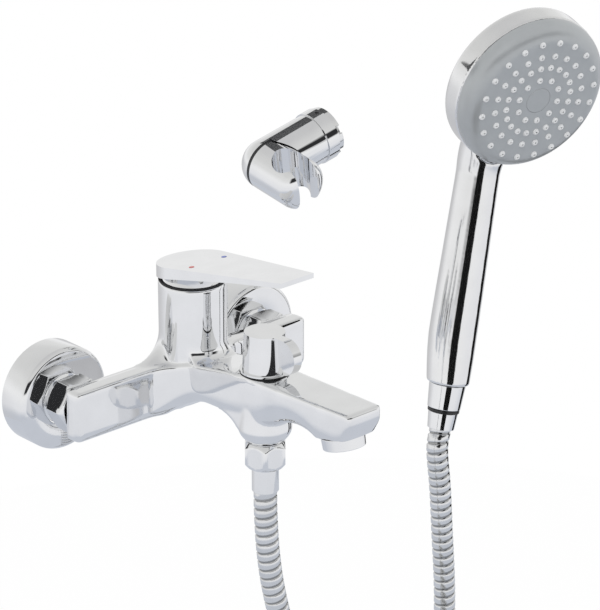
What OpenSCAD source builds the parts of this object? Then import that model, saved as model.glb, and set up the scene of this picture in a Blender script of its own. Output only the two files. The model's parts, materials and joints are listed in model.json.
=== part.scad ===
// Wall-mounted bath and shower mixer with hand shower, hose and handset bracket.
// The wall is the plane y = 0, the mixer stands out along -Y and +Z is up.
// The origin is on the wall, midway between the two inlets.

/* [Inlets] */
// Distance between the two wall inlets
inlet_spacing = 150; // [140:1:165]
// Diameter of the wall escutcheons
escutcheon_d = 63; // [56:1:74]
// How far an escutcheon stands out from the wall
escutcheon_depth = 20; // [16:0.5:24]
// Sheet thickness of an escutcheon
escutcheon_wall = 1.4; // [0.8:0.1:2.5]
// Bevel round the front of an escutcheon
escutcheon_bevel = 2; // [0.5:0.1:4]
// Thread radius of the tail in the wall, half-inch pipe
tail_r = 10.48; // [9:0.01:12]
// Length of the tail behind the wall
tail_len = 18; // [10:1:30]
// Thread radius of the union, three-quarter-inch pipe
union_r = 13.22; // [12:0.01:15]
// Bore radius of the inlet waterway
inlet_bore_r = 7; // [4:0.1:8]
// Size across flats of a union nut
union_nut_af = 30; // [29:0.1:34]
// Length of a union nut
union_nut_len = 15; // [14:0.1:20]
// Thickness of an inlet washer
inlet_washer_t = 2.5; // [1:0.1:4]

/* [Body] */
// Distance from the wall to the front of the arms
arm_front = 50; // [46:0.5:56]
// Thickness of an arm, front to back
arm_t = 13; // [11:0.5:16]
// Top of the arms
arm_top = 16; // [14:0.5:20]
// Underside of the arms, below the inlet axis
arm_drop = 15.8; // [14:0.1:20]
// How far an arm runs past its inlet
arm_overhang = 14.5; // [13:0.5:22]
// Bore radius of the arm waterways
arm_bore_r = 4.2; // [2.5:0.1:5]
// Diameter of the cartridge housing
housing_d = 41; // [40:0.5:48]
// Distance from the wall to the lever's turning axis
housing_y = 48.5; // [46:0.5:52]
// Height of the metal rim of the housing
housing_top = 64.4; // [60:0.1:70]
// Blend radius from an arm up to the housing
web_r = 19; // [8:0.5:24]
// Blend radius from an arm to the spout
crotch_r = 18; // [8:0.5:24]

/* [Spout] */
// Distance from the wall to the spout's tip
spout_reach = 196; // [185:0.5:215]
// Width of the spout at its tip
spout_tip_w = 26; // [25:0.5:32]
// Width of the spout at its root
spout_root_w = 33; // [31:0.5:40]
// Height of the spout's top at its tip
spout_top = 27; // [26:0.5:32]
// Bore radius of the spout waterway
spout_bore_r = 5.5; // [3:0.1:6.5]
// How far the middle of the aerator's seat lies behind the spout's tip
aerator_setback = 18; // [16:0.5:22]
// Height of the middle of the aerator's seat
aerator_z = 6.9; // [5:0.1:9]
// Forward tilt of the aerator
aerator_tilt = 13; // [5:1:20]
// Diameter of the aerator's ring
aerator_d = 25.6; // [24:0.1:27]
// Height of the aerator's ring
aerator_h = 7; // [5:0.1:9]
// Thread radius of the aerator
aerator_thread_r = 10.5; // [9.5:0.1:11]

/* [Lever] */
// Radius of the lever round the housing
lever_r = 21.3; // [20.8:0.1:25]
// Length of the lever from its turning axis to its tip
lever_len = 91.5; // [75:0.5:110]
// Width of the lever's tip
lever_tip_w = 25; // [16:0.5:34]
// Thickness of the lever's tip
lever_tip_t = 2.8; // [2:0.1:5]
// Height of the lever's top above its pivot, on the turning axis
lever_rise = 20.6; // [19:0.1:24]
// Upward slope of the lever's top
lever_slope = 8.8; // [4:0.1:12]
// Upward slope of the lever's underside
lever_under = 12.2; // [9:0.1:15]
// Height of the lever's pivot
pivot_z = 56; // [54:0.1:57]
// Radius of the dome under the lever, about the pivot
dome_r = 20.4; // [19.5:0.1:20.6]
// Radius of the lever's spindle in the lever
spindle_r = 4.5; // [3:0.1:5.5]
// Radius of the pivot pin
pin_r = 1.5; // [1:0.1:2.5]
// Radius of a colour mark on the lever
mark_r = 1.6; // [1:0.1:3]

/* [Cartridge] */
// Radius of the cartridge
cartridge_r = 17.4; // [16.5:0.1:17.5]
// Height of the cartridge's seat
cartridge_z = 21; // [20.5:0.5:22]
// Radius of the turning carrier
carrier_r = 11; // [9:0.1:12]
// Radius of the moving ceramic disc
moving_disc_r = 10; // [8:0.1:10.5]
// Radius of the fixed ceramic disc
fixed_disc_r = 13.8; // [12.5:0.1:13.9]

/* [Diverter] */
// Distance from the wall to the diverter and the shower outlet
diverter_y = 112; // [108:0.5:116]
// Height of the diverter's collar
collar_z = 25.4; // [25.3:0.1:27]
// Diameter of the diverter's collar
collar_d = 30; // [29:0.5:34]
// Diameter of the knob at its top
knob_top_d = 24; // [18:0.5:27]
// Diameter of the knob at its foot
knob_foot_d = 26.4; // [22:0.2:28]
// Height of the knob
knob_h = 24; // [22:0.5:32]
// Radius of the knob's thumb disc
tab_r = 10.5; // [7:0.5:11]
// Thickness of the knob's thumb disc
tab_t = 6; // [3:0.5:10]
// How far the thumb disc's middle stands off the knob's axis
tab_off = 18; // [14:0.5:22]
// Radius of the diverter's spindle
diverter_spindle_r = 3.5; // [2.5:0.1:4.5]
// Radius of the diverter's chamber
chamber_r = 10.2; // [9.5:0.1:11]

/* [Shower outlet] */
// Underside of the outlet boss, below the inlet axis
boss_drop = 18; // [17:0.5:20]
// Radius of the outlet boss at its end
boss_r = 11; // [10.8:0.1:13]
// Thread radius of the outlet nipple, half-inch pipe
outlet_r = 10.48; // [10:0.01:11]
// Size across flats of the hose nut
hose_nut_af = 23.6; // [23.4:0.1:27]
// Length of the hose nut
hose_nut_len = 16; // [14:0.5:20]
// Radius of the hose's ferrule at the mixer
ferrule_r = 8; // [7.6:0.1:8.4]
// Length of the ferrule below the nut
ferrule_len = 16; // [10:0.5:20]

/* [Hose] */
// Outside diameter of the hose
hose_d = 14; // [13:0.1:14.3]
// Depth of the groove between two ribs
rib_depth = 0.8; // [0.3:0.1:1.2]
// Bore radius of the hose
hose_bore_r = 4.5; // [3:0.1:5.2]
// Ribs on the stretch below the mixer
ribs_mixer = 34; // [20:1:40]
// Ribs on the stretch below the handset
ribs_handset = 29; // [20:1:40]
// Ribs on the coil
ribs_coil = 125; // [60:1:130]
// Width of the tie round the coil
tie_w = 8; // [4:0.5:14]
// Thickness of the tie
tie_t = 1.2; // [0.8:0.1:2.5]

/* [Handset] */
// Diameter of the spray head
head_d = 102; // [96:1:112]
// Depth of the head's rim
rim_depth = 16; // [14:0.5:20]
// Downward tilt of the spray face
head_tilt = 20; // [14:1:26]
// Height of the head's middle above the handle's end
head_up = 194; // [188:1:204]
// How far the head's middle stands in front of the handle's axis
head_fwd = 34; // [30:0.5:38]
// Height of the spray face in front of the rim
face_h = 12; // [10:0.5:14]
// Rounding round the spray face
face_round = 11; // [8:0.5:11.5]
// Radius of a spray nozzle
nozzle_r = 1.9; // [1.4:0.1:2.2]
// Radius of the cap in the middle of the face
cap_r = 8.4; // [6:0.1:10]
// How far the handle bows back behind the line of its inlet
handle_bow = 2.6; // [0:0.1:4]
// Radius of the handle at its end
handle_end_r = 13.8; // [13:0.1:15]
// Radius of the handle at its widest
handle_mid_r = 15.4; // [14:0.1:17]
// Radius of the handle below the head
handle_top_r = 13.9; // [12.5:0.1:15]
// Bore radius of the handle
handle_bore_r = 10.8; // [6:0.1:11]
// Thread radius of the handset's inlet, half-inch pipe
handset_thread_r = 10.4; // [9.8:0.01:10.6]
// Radius of the conical nut at its top
cone_nut_r = 11.8; // [11.6:0.1:13]
// Length of the conical nut
cone_nut_len = 16; // [14:0.5:20]
// Height of the black ring under the conical nut
ring_h = 2.5; // [1.5:0.1:4]
// Length of the sleeve on the hose's end
sleeve_len = 11; // [9:0.5:15]

/* [Bracket] */
// Radius of the bracket's barrel
barrel_r = 15.5; // [14.5:0.1:16]
// Radius of the collar at the bracket's foot
foot_r = 16.3; // [16.2:0.1:19]
// Length of the bracket's wall plate
plate_t = 4; // [3:0.5:6]
// Length of the collar at the bracket's foot
foot_len = 8; // [6:0.5:12]
// Length of the barrel from the collar to the pivot
barrel_len = 34.8; // [32:0.1:44]
// Length of the cradle from the pivot's joint face
cradle_len = 36; // [34:0.5:44]
// Distance of the cradle's socket from the joint face
socket_off = 20.5; // [19:0.5:22]
// Radius of the socket at its top
socket_top_r = 11; // [10:0.1:11.5]
// Radius of the socket at its foot
socket_foot_r = 10; // [8.5:0.1:10.5]
// Width of the slot that the hose passes through
slot_w = 15; // [14.6:0.1:16]
// Radius of the bracket's pivot
bracket_pivot_r = 3; // [2:0.1:4]
// Radius of the screw hole in the wall plate
screw_hole_r = 2.6; // [1.5:0.1:3.5]

/* [Fits] */
// Radial clearance of a shaft that turns in a bore
run_fit = 0.06; // [0.02:0.01:0.1]
// Radial clearance of a thread or of a piece that is pushed in
seat_fit = 0.1; // [0.03:0.01:0.2]
// Gap between bodies that move past each other
body_gap = 0.3; // [0.2:0.05:0.5]

/* [Hidden] */
$fn = 64;

chrome = "gainsboro";
brass = "goldenrod";
plastic = "whitesmoke";
black = "dimgray";
grey = "silver";

arm_back = arm_front - arm_t;
arm_mid = arm_front - arm_t / 2;
arm_end = inlet_spacing / 2 + arm_overhang;

// Along an inlet, measured out from the wall
nut_front = arm_back - body_gap;
nut_back = nut_front - union_nut_len;
nut_lip = 4;
collar_t = 2.5;
spigot_r = 9.6;
spigot_collar_r = union_r - 0.9;
spigot_end = nut_front - nut_lip - collar_t;
connector_end = spigot_end - inlet_washer_t;
flange_r = union_r + 2;

// Aerator
aerator_y = spout_reach - aerator_setback;
aerator_gap = 0.03;
lip_dy = aerator_d / 2 * cos(aerator_tilt) + 2;
lip_z = aerator_z - lip_dy * tan(aerator_tilt) + aerator_gap;

// Spout: half width and top at a distance from the wall, and sections as (distance, underside, fullness)
function mix(a, b, t) = a + (b - a) * t;
function spout_half(d) = d < diverter_y
    ? mix(spout_root_w / 2, collar_d / 2, (d - arm_mid) / (diverter_y - arm_mid))
    : mix(collar_d / 2, spout_tip_w / 2, (d - diverter_y) / (spout_reach - diverter_y));
function spout_top_at(d) = d < arm_front ? arm_top : d < diverter_y - 13
    ? mix(arm_top, spout_top - 2.6, (d - arm_front) / (diverter_y - 13 - arm_front))
    : mix(spout_top - 2.6, spout_top, (d - diverter_y + 13) / (spout_reach - diverter_y + 13));
arch_top = -4;
spout_side_h = 7.3;
bend_from = diverter_y + 17;
bend_to = aerator_y - lip_dy;
spout_sections = [
    [arm_mid, arch_top, 6], [arm_front, arch_top, 6], [diverter_y - 13, arch_top, 6], [diverter_y + 8, arch_top, 4], [bend_from, -1.5, 2.8],
    [mix(bend_from, bend_to, 0.2), 1.5, 2.4], [mix(bend_from, bend_to, 0.37), 3.1, 2.2], [mix(bend_from, bend_to, 0.55), 4, 2.2],
    [mix(bend_from, bend_to, 0.72), aerator_z - 2.5, 2.4], [mix(bend_from, bend_to, 0.88), aerator_z - 2.8, 2.8], [bend_to, lip_z, 3.4],
    [aerator_y - 10, aerator_z - 4.9, 3.8], [aerator_y - 5, aerator_z - 5.5, 4], [aerator_y + 6, aerator_z - 5.5, 4],
    [aerator_y + 12, aerator_z - 1.9, 4], [spout_reach - 3, aerator_z + 3.9, 3.2], [spout_reach - 1, aerator_z + 8.1, 3],
    [spout_reach, spout_top - 8.4, 3]
];

// Housing and cartridge
bore_r = cartridge_r + 4 * seat_fit;
seal_t = 1;
rim_top = housing_top + seal_t;
seal_in_r = sqrt(dome_r * dome_r - pow(housing_top - pivot_z, 2)) + seat_fit;
seal_out_r = housing_d / 2 - 0.2;
disc_floor = cartridge_z + 11;
fixed_disc_t = 5;
moving_disc_t = 6.2;
disc_gap = 0.05;
moving_disc_z = disc_floor + fixed_disc_t + disc_gap;
disc_room = moving_disc_z + moving_disc_t + 0.6;
cartridge_top = pivot_z - 1;
carrier_top = pivot_z + 4.5;
ball_drop = 14;
stem_r = spindle_r - 1;
tip_r = stem_r - 1;

// Lever
hub_r = spindle_r + 3;
hub_z = pivot_z + 7.5;
hub_roof = 3;
lever_heel = 12.5;
lever_heel_z = rim_top + 1.4;
lever_back_slope = 6.5;
lever_break = 53.5;
mark_x = 12.5;
mark_y = 14;
mark_t = 0.8;
mark_proud = 0.15;
function lever_top_z(d) = pivot_z + lever_rise + d * tan(lever_slope);
function lever_under_z(d) = lever_heel_z + (d + lever_heel) * tan(lever_under);

// Diverter
ring_t = 0.4;
knob_z = collar_z + ring_t + 0.3;
knob_foot_h = 1;
valve_z = -2;
valve_h = 5;
bonnet_z = 12;
knob_seat = 17;

// Outlet and hose end, downwards
nut_top_z = -boss_drop - 0.5;
nut_foot_z = nut_top_z - hose_nut_len;
hose_lip = 3.5;
ferrule_collar = 1.6;
outlet_washer_t = 2;
nipple_end_z = nut_foot_z + hose_lip + ferrule_collar + outlet_washer_t;
ferrule_z = nut_foot_z - ferrule_len;

// Hose routes: points chosen by hand, in millimetres
route_from_mixer = [
    [0, -112, -50.5], [0.2, -112, -66], [2, -112, -92], [6.4, -112.2, -120],
    [15, -113.5, -155], [29, -115.5, -198], [40, -116.5, -240], [42, -116.5, -270]
];
hose_end = [182, -76, -78];
handset_turn = [-5, 13, -10];
function turned(v) = let(
    a = handset_turn[0], b = handset_turn[1], c = handset_turn[2],
    p = [v[0], v[1] * cos(a) - v[2] * sin(a), v[1] * sin(a) + v[2] * cos(a)],
    q = [p[0] * cos(b) + p[2] * sin(b), p[1], -p[0] * sin(b) + p[2] * cos(b)]
) [q[0] * cos(c) - q[1] * sin(c), q[0] * sin(c) + q[1] * cos(c), q[2]];
handset_axis = turned([0, 0, 1]);
route_to_handset = [
    [184, -79, -270], [185.5, -79, -240], [186, -78.5, -195], [183.6, -77.6, -152],
    [181.6, -77, -120], hose_end - 14 * handset_axis, hose_end
];
coil_turns = 2.5;
coil_start = route_from_mixer[len(route_from_mixer) - 1];
coil_finish = route_to_handset[0];
coil_r = (coil_finish[0] - coil_start[0]) / 2;
hose_r = hose_d / 2;
tie_gap = 0.3;

// Handset, along its handle's axis from the handle's end
nut_seat = 0.4;
nut_low = -nut_seat - cone_nut_len;
sleeve_top = nut_low - ring_h;
sleeve_end = sleeve_top - sleeve_len;
handset_at = hose_end - sleeve_end * handset_axis;
sleeve_neck_r = 7.6;
sleeve_collar_r = 9;
sleeve_collar_t = 2;
cone_lip = 3;
cone_washer_t = 2;
thread_end = nut_low + cone_lip + sleeve_collar_t + cone_washer_t + 2 * body_gap;
handle_len = 150;
handle_mid_z = 30;
handle_neck_z = 136;
neck_down = 24;
neck_r = 18;
shell_wall = 2.5;
face_wall = 2.5;
face_in_r = head_d / 2 - 0.6;
ring_out = head_d / 2 - face_round;
ring_radii = ring_out * [0.3625, 0.575, 0.775, 1];
ring_turn = 2;
ring_counts = [10, 20, 20, 20];
membrane_t = 1.5;
cap_seat = face_h - 2;
screw_r = 2;
screw_head_r = 4;
screw_head_z = cap_seat - 2.4;
plate_r = head_d / 2 - shell_wall - 4;

// Bracket
bracket_at = [97, -60, 137];
bracket_turn = [10, -14, -3];
pivot_x = -(plate_t + foot_len + barrel_len);
lap = 2.2;

// Shapes that repeat

// Turns a shape built upwards so that it runs out from the wall
module outward(x, d) { translate([x, -d, 0]) rotate([90, 0, 0]) children(); }

// Extrudes a profile drawn in (y, z) across the part
module across(w) { translate([-w / 2, 0, 0]) rotate([90, 0, 90]) linear_extrude(w) children(); }

module tube(ro, ri, h) { difference() { cylinder(r = ro, h = h); translate([0, 0, -1]) cylinder(r = ri, h = h + 2); } }

// Hexagonal nut blank with both ends chamfered by a cone
module hex_blank(af, h, bevel) {
    tip = af / sqrt(3);
    intersection() {
        cylinder(r = tip, h = h, $fn = 6);
        rotate_extrude() polygon([[0, 0], [af / 2 - 0.2, 0], [tip + 0.05, bevel], [tip + 0.05, h - bevel], [af / 2 - 0.2, h], [0, h]]);
    }
}

module at_diverter(z) { translate([0, -diverter_y, z]) children(); }
module at_lever(z) { translate([0, -housing_y, z]) children(); }
module at_aerator() { translate([0, -aerator_y, aerator_z]) rotate([-aerator_tilt, 0, 0]) children(); }
module at_handset() { translate(handset_at) rotate(handset_turn) children(); }
module at_head() { at_handset() translate([0, -head_fwd, head_up]) rotate([90 + head_tilt, 0, 0]) children(); }
module at_bracket() { translate(bracket_at) rotate(bracket_turn) children(); }

// Mixer body

// Root of the spout seen from above, with a concave blend to each arm
module crotch_plan() {
    x0 = spout_root_w / 2 - 1;
    translate([-x0 - crotch_r, -arm_front - crotch_r]) difference() {
        square([2 * (x0 + crotch_r), crotch_r + 1]);
        for (x = [0, 2 * (x0 + crotch_r)]) translate([x, 0]) circle(r = crotch_r);
    }
}

// Arms' crotch seen from the side, as (y, z), over the arch behind the outlet
module crotch_side() {
    arch_y = (arm_front + diverter_y - 8) / 2;
    arch_half = arch_y - arm_front;
    arch_r = (arch_half * arch_half + pow(arm_drop + arch_top, 2)) / (2 * (arm_drop + arch_top));
    difference() {
        polygon([[-arm_mid, -arm_drop], [-diverter_y, -arm_drop], [-diverter_y, spout_top_at(diverter_y)],
                 [-diverter_y + 13, spout_top - 2.6], [-arm_front, arm_top], [-arm_mid, arm_top]]);
        translate([-arch_y, arch_top - arch_r]) circle(r = arch_r);
    }
}

// One section of the spout: flat on top, straight at the sides and round below
function spout_ring(s) = let(d = s[0], w = spout_half(d), top = spout_top_at(d), mid = top - spout_side_h)
    concat([[w, -d, top], [-w, -d, top]],
           [for (a = [180 : -15 : 0]) [w * sign(cos(a)) * pow(abs(cos(a)), 2 / s[2]), -d, mid - (mid - s[1]) * pow(sin(a), 2 / s[2])]]);

// Spout as a skin over its sections, cut flat where the aerator seats
module spout() {
    n = len(spout_sections);
    m = len(spout_ring(spout_sections[0]));
    difference() {
        polyhedron([for (s = spout_sections) each spout_ring(s)], concat(
            [[for (k = [0 : m - 1]) k]], [[for (k = [m - 1 : -1 : 0]) (n - 1) * m + k]],
            [for (i = [0 : n - 2], k = [0 : m - 1]) let(j = (k + 1) % m, q = i * m)
                each [[q + k, q + m + j, q + j], [q + k, q + m + k, q + m + j]]]));
        at_aerator() translate([-30, -26, -40]) cube([60, 26 + lip_dy / cos(aerator_tilt), 40 + aerator_gap]);
    }
}

// Concave flare round the foot of the housing, kept to the depth of the arms
module housing_web() {
    foot = housing_d / 2;
    intersection() {
        at_lever(arm_top - 1) rotate_extrude() translate([foot - 2, 0]) difference() {
            square([web_r + 2, web_r + 1]);
            translate([web_r + 2, web_r + 1]) circle(r = web_r);
        }
        translate([-arm_end, -arm_front, arm_top - 1]) cube([2 * arm_end, arm_t, 2 * web_r]);
    }
}

// Outlet boss, rounded at its foot, with a flare that runs back into the arch
module outlet_boss() {
    at_diverter(-boss_drop) rotate_extrude() polygon([[0, 0], [boss_r, 0], [boss_r + 0.9, 1], [boss_r + 2.8, 3], [boss_r + 4.2, 5],
        [boss_r + 5, 7], [boss_r + 5.3, 9], [boss_r + 5.3, boss_drop - 2], [boss_r + 4, boss_drop + 4], [0, boss_drop + 4]]);
    intersection() {
        at_diverter(-boss_drop) rotate_extrude() polygon([[0, 8], [boss_r + 5.6, 8.2], [boss_r + 7.1, 10.7], [boss_r + 9, 12.5],
            [boss_r + 11.5, 13.9], [boss_r + 14.5, 14.9], [boss_r + 18, 15.5], [boss_r + 18, 20], [0, 20]]);
        translate([0, 0, -30]) linear_extrude(60) polygon([for (x = [-1, 1], d = x < 0 ? [arm_mid, diverter_y] : [diverter_y, arm_mid]) [x * spout_half(d), -d]]);
    }
}

module inlet_spigot(x) {
    outward(x, spigot_end) cylinder(r = spigot_collar_r, h = collar_t);
    outward(x, spigot_end) cylinder(r = spigot_r, h = arm_back - spigot_end + 1);
}

module waterways() {
    for (s = [-1, 1]) {
        outward(s * inlet_spacing / 2, spigot_end - 1) cylinder(r = inlet_bore_r - 0.5, h = arm_mid - spigot_end + 2);
        translate([s * 8, -arm_mid, 0]) cylinder(r = 3, h = cartridge_z + 1);
        translate([s * (inlet_spacing / 2), -arm_mid, 0]) rotate([0, -90 * s, 0]) cylinder(r = arm_bore_r, h = inlet_spacing / 2 - 6);
    }
    at_lever(cartridge_z) cylinder(r = bore_r, h = 60);
    translate([0, -housing_y - 10, 2]) cylinder(r = 3.8, h = cartridge_z);
    translate([0, -housing_y - 8, 2.4]) rotate([90, 0, 0]) cylinder(r = 3.8, h = diverter_y - housing_y);
    at_diverter(valve_z - 1) cylinder(r = chamber_r, h = 60);
    translate([0, -diverter_y, 13.5]) rotate([90, 0, 0]) cylinder(r = spout_bore_r, h = aerator_y - diverter_y + 3);
    at_aerator() translate([0, 0, -20]) cylinder(r = aerator_thread_r + seat_fit, h = 28.8);
    at_diverter(-boss_drop - 1) cylinder(r = outlet_r - 1.5, h = boss_drop + 2);
}

module mixer_body() {
    color(chrome) difference() {
        union() {
            translate([-arm_end, -arm_front, -arm_drop]) cube([2 * arm_end, arm_t, arm_drop + arm_top]);
            intersection() {
                translate([0, 0, -40]) linear_extrude(100) crotch_plan();
                across(2 * arm_end) crotch_side();
            }
            spout();
            at_lever(arm_top - 12) cylinder(d = housing_d, h = housing_top - arm_top + 12);
            housing_web();
            for (s = [-1, 1]) inlet_spigot(s * inlet_spacing / 2);
            at_diverter(10) cylinder(d = collar_d, h = collar_z - 10);
            outlet_boss();
        }
        waterways();
    }
}

// Wall connection

module inlet_connector(x) {
    color(chrome) difference() {
        union() {
            outward(x, -tail_len) cylinder(r = tail_r, h = tail_len + 4);
            outward(x, 2) cylinder(r = flange_r, h = nut_back - 3.5, $fn = 6);
            outward(x, 2) cylinder(r = union_r, h = connector_end - 2);
        }
        outward(x, -tail_len - 1) cylinder(r = inlet_bore_r, h = tail_len + connector_end + 2);
    }
}

module inlet_connector_left() inlet_connector(-inlet_spacing / 2);
module inlet_connector_right() inlet_connector(inlet_spacing / 2);

module escutcheon(x) {
    ro = escutcheon_d / 2;
    hole = flange_r + 0.4;
    color(chrome) outward(x, 0) rotate_extrude() polygon([
        [ro - escutcheon_wall, 0], [ro, 0], [ro, escutcheon_depth - escutcheon_bevel], [ro - escutcheon_bevel, escutcheon_depth],
        [hole, escutcheon_depth], [hole, escutcheon_depth - escutcheon_wall],
        [ro - escutcheon_bevel - 0.5, escutcheon_depth - escutcheon_wall], [ro - escutcheon_wall, escutcheon_depth - escutcheon_bevel - 0.5]]);
}

module escutcheon_left() escutcheon(-inlet_spacing / 2);
module escutcheon_right() escutcheon(inlet_spacing / 2);

module union_nut(x) {
    color(chrome) difference() {
        outward(x, nut_back) rotate([0, 0, 30]) hex_blank(union_nut_af, union_nut_len, 2);
        outward(x, nut_back - 1) cylinder(r = union_r + seat_fit, h = union_nut_len - nut_lip + 1);
        outward(x, nut_back - 1) cylinder(r = spigot_r + seat_fit, h = union_nut_len + 2);
    }
}

module union_nut_left() union_nut(-inlet_spacing / 2);
module union_nut_right() union_nut(inlet_spacing / 2);

module inlet_washer(x) { color(black) outward(x, connector_end) tube(spigot_collar_r, inlet_bore_r, inlet_washer_t); }

module inlet_washer_left() inlet_washer(-inlet_spacing / 2);
module inlet_washer_right() inlet_washer(inlet_spacing / 2);

// Cartridge

module cartridge_body() {
    color(plastic) difference() {
        at_lever(cartridge_z) cylinder(r = cartridge_r, h = cartridge_top - cartridge_z);
        at_lever(disc_floor) cylinder(r = fixed_disc_r + seat_fit, h = disc_room - disc_floor);
        at_lever(disc_floor) cylinder(r = carrier_r + run_fit, h = 60);
        for (s = [-1, 1]) at_lever(cartridge_z - 1) translate([s * 8, housing_y - arm_mid, 0]) cylinder(r = 3, h = 20);
        at_lever(cartridge_z - 1) translate([0, -10, 0]) cylinder(r = 3.5, h = 20);
    }
}

module fixed_disc() {
    color("white") at_lever(disc_floor) difference() {
        cylinder(r = fixed_disc_r, h = fixed_disc_t);
        for (s = [-1, 1]) translate([s * 8, housing_y - arm_mid, -1]) cylinder(r = 2.6, h = 20);
        translate([0, -10, -1]) cylinder(r = 2.6, h = 20);
    }
}

module moving_disc() {
    color("white") at_lever(moving_disc_z) difference() {
        cylinder(r = moving_disc_r, h = moving_disc_t);
        translate([0, 0, 2.4]) cylinder(r = tip_r + 0.6, h = 20);
    }
}

module cartridge_carrier() {
    color(plastic) at_lever(disc_room + body_gap) difference() {
        cylinder(r = carrier_r, h = carrier_top - disc_room - body_gap);
        translate([-stem_r - body_gap, -stem_r - 3.6, -1]) cube([2 * (stem_r + body_gap), 2 * (stem_r + 3.6), 60]);
        translate([-40, 0, pivot_z - disc_room - body_gap]) rotate([0, 90, 0]) cylinder(r = pin_r + run_fit, h = 80);
    }
}

module cartridge_nut() {
    color(brass) at_lever(cartridge_top) difference() {
        cylinder(r = bore_r - seat_fit, h = 6);
        translate([0, 0, -1]) cylinder(r = carrier_r + 1.2, h = 20);
    }
}

// Dome round the lever's pivot, on a skirt in the housing
module trim_dome() {
    skirt_z = cartridge_top + 6.2;
    dome_top = pivot_z + 14;
    color(chrome) at_lever(0) rotate_extrude() {
        intersection() {
            translate([0, pivot_z]) difference() { circle(r = dome_r); circle(r = dome_r - 1.6); }
            translate([0, housing_top]) square([dome_r, dome_top - housing_top]);
        }
        translate([bore_r - 1.6, skirt_z]) square([1.4, housing_top + 0.5 - skirt_z]);
    }
}

module rim_seal() { color(black) at_lever(housing_top) tube(seal_out_r, seal_in_r, seal_t); }

// Lever

module lever_plan() {
    d = norm([lever_tip_w / 2, lever_len]);
    a = atan(lever_tip_w / 2 / lever_len) + acos(lever_r / d);
    circle(r = lever_r);
    polygon([[-lever_tip_w / 2, -lever_len], [lever_tip_w / 2, -lever_len],
             [lever_r * sin(a), -lever_r * cos(a)], [-lever_r * sin(a), -lever_r * cos(a)]]);
}

// Wedge of the lever seen from the side, as (y, z) from the turning axis
module lever_side() {
    back = lever_r + 2;
    polygon([[back, lever_heel_z + (back - lever_heel) * tan(lever_back_slope)], [back, lever_top_z(-back)],
             [-lever_len - 1, lever_top_z(lever_len + 1)], [-lever_len - 1, lever_top_z(lever_len) - lever_tip_t],
             [-lever_break, lever_under_z(lever_break)], [lever_heel, lever_heel_z]]);
}

// Room for the dome, closed by a sloping roof
module lever_room() {
    intersection() {
        translate([0, 0, pivot_z]) sphere(r = dome_r + body_gap + 0.2);
        across(80) polygon([[-40, 0], [40, 0], [40, lever_top_z(-40) - hub_roof], [-40, lever_top_z(40) - hub_roof]]);
    }
}

module mark_at(s) {
    translate([s * mark_x, -mark_y, lever_top_z(mark_y)]) rotate([-lever_slope, 0, 0]) translate([0, 0, mark_proud - mark_t]) children();
}

module lever() {
    color(chrome) at_lever(0) difference() {
        union() {
            difference() {
                intersection() {
                    linear_extrude(140) lever_plan();
                    across(80) lever_side();
                }
                lever_room();
            }
            translate([0, 0, hub_z]) cylinder(r = hub_r, h = pivot_z + lever_rise - hub_roof + 1 - hub_z);
        }
        cylinder(r = spindle_r + 0.02, h = pivot_z + lever_rise - hub_roof);
        translate([0, 0, pivot_z + 11]) rotate([90, 0, 0]) cylinder(r = 2.02, h = hub_r + 1);
        for (s = [-1, 1]) mark_at(s) cylinder(r = mark_r + 0.03, h = 5);
    }
}

module lever_spindle() {
    color(grey) at_lever(0) difference() {
        union() {
            translate([0, 0, pivot_z + 5.5]) cylinder(r = spindle_r, h = lever_rise - hub_roof - 5.8);
            translate([0, 0, disc_room + body_gap]) cylinder(r = stem_r, h = pivot_z + 6 - disc_room - body_gap);
            translate([0, 0, moving_disc_z + 3.6]) cylinder(r = tip_r, h = ball_drop);
        }
        translate([-40, 0, pivot_z]) rotate([0, 90, 0]) cylinder(r = pin_r + 0.01, h = 80);
    }
}

module pivot_pin() { color(grey) at_lever(pivot_z) translate([-carrier_r + 0.8, 0, 0]) rotate([0, 90, 0]) cylinder(r = pin_r, h = 2 * carrier_r - 1.6); }

module lever_grub() { color(grey) at_lever(pivot_z + 11) translate([0, -spindle_r - 0.05, 0]) rotate([90, 0, 0]) cylinder(r = 2, h = 4); }

module hot_mark() { color("red") at_lever(0) mark_at(-1) cylinder(r = mark_r, h = mark_t); }
module cold_mark() { color("blue") at_lever(0) mark_at(1) cylinder(r = mark_r, h = mark_t); }

// Diverter

module diverter_bonnet() {
    color(brass) at_diverter(bonnet_z) tube(chamber_r - seat_fit, diverter_spindle_r + run_fit, collar_z - bonnet_z - 0.1);
}

module diverter_ring() { color(black) at_diverter(collar_z) tube(collar_d / 2 - 0.2, diverter_spindle_r + 1, ring_t); }

module diverter_knob() {
    color(chrome) at_diverter(0) difference() {
        union() {
            translate([0, 0, knob_z]) cylinder(d = collar_d - 0.6, h = knob_foot_h);
            translate([0, 0, knob_z]) cylinder(d1 = knob_foot_d, d2 = knob_top_d, h = knob_h);
            translate([-tab_t / 2, -tab_off, knob_z + knob_h - tab_r]) rotate([0, 90, 0]) cylinder(r = tab_r, h = tab_t);
            translate([-tab_t / 2, -tab_off, knob_z + knob_h - 2 * tab_r]) cube([tab_t, tab_off, 2 * tab_r]);
        }
        translate([0, 0, knob_z - 1]) cylinder(r = diverter_spindle_r + 0.02, h = knob_seat + 1);
        translate([0, 0, knob_z + 8]) rotate([-90, 0, 0]) cylinder(r = 1.62, h = 40);
    }
}

module diverter_spindle() {
    color(brass) at_diverter(valve_z) {
        cylinder(r = diverter_spindle_r, h = knob_z + knob_seat - 0.1 - valve_z);
        difference() {
            cylinder(r = chamber_r - 0.6, h = valve_h);
            translate([0, 0, -1]) intersection() {
                tube(chamber_r - 2, diverter_spindle_r + 1, valve_h + 2);
                translate([-20, -20, 0]) cube([40, 20, 20]);
            }
        }
    }
}

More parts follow.
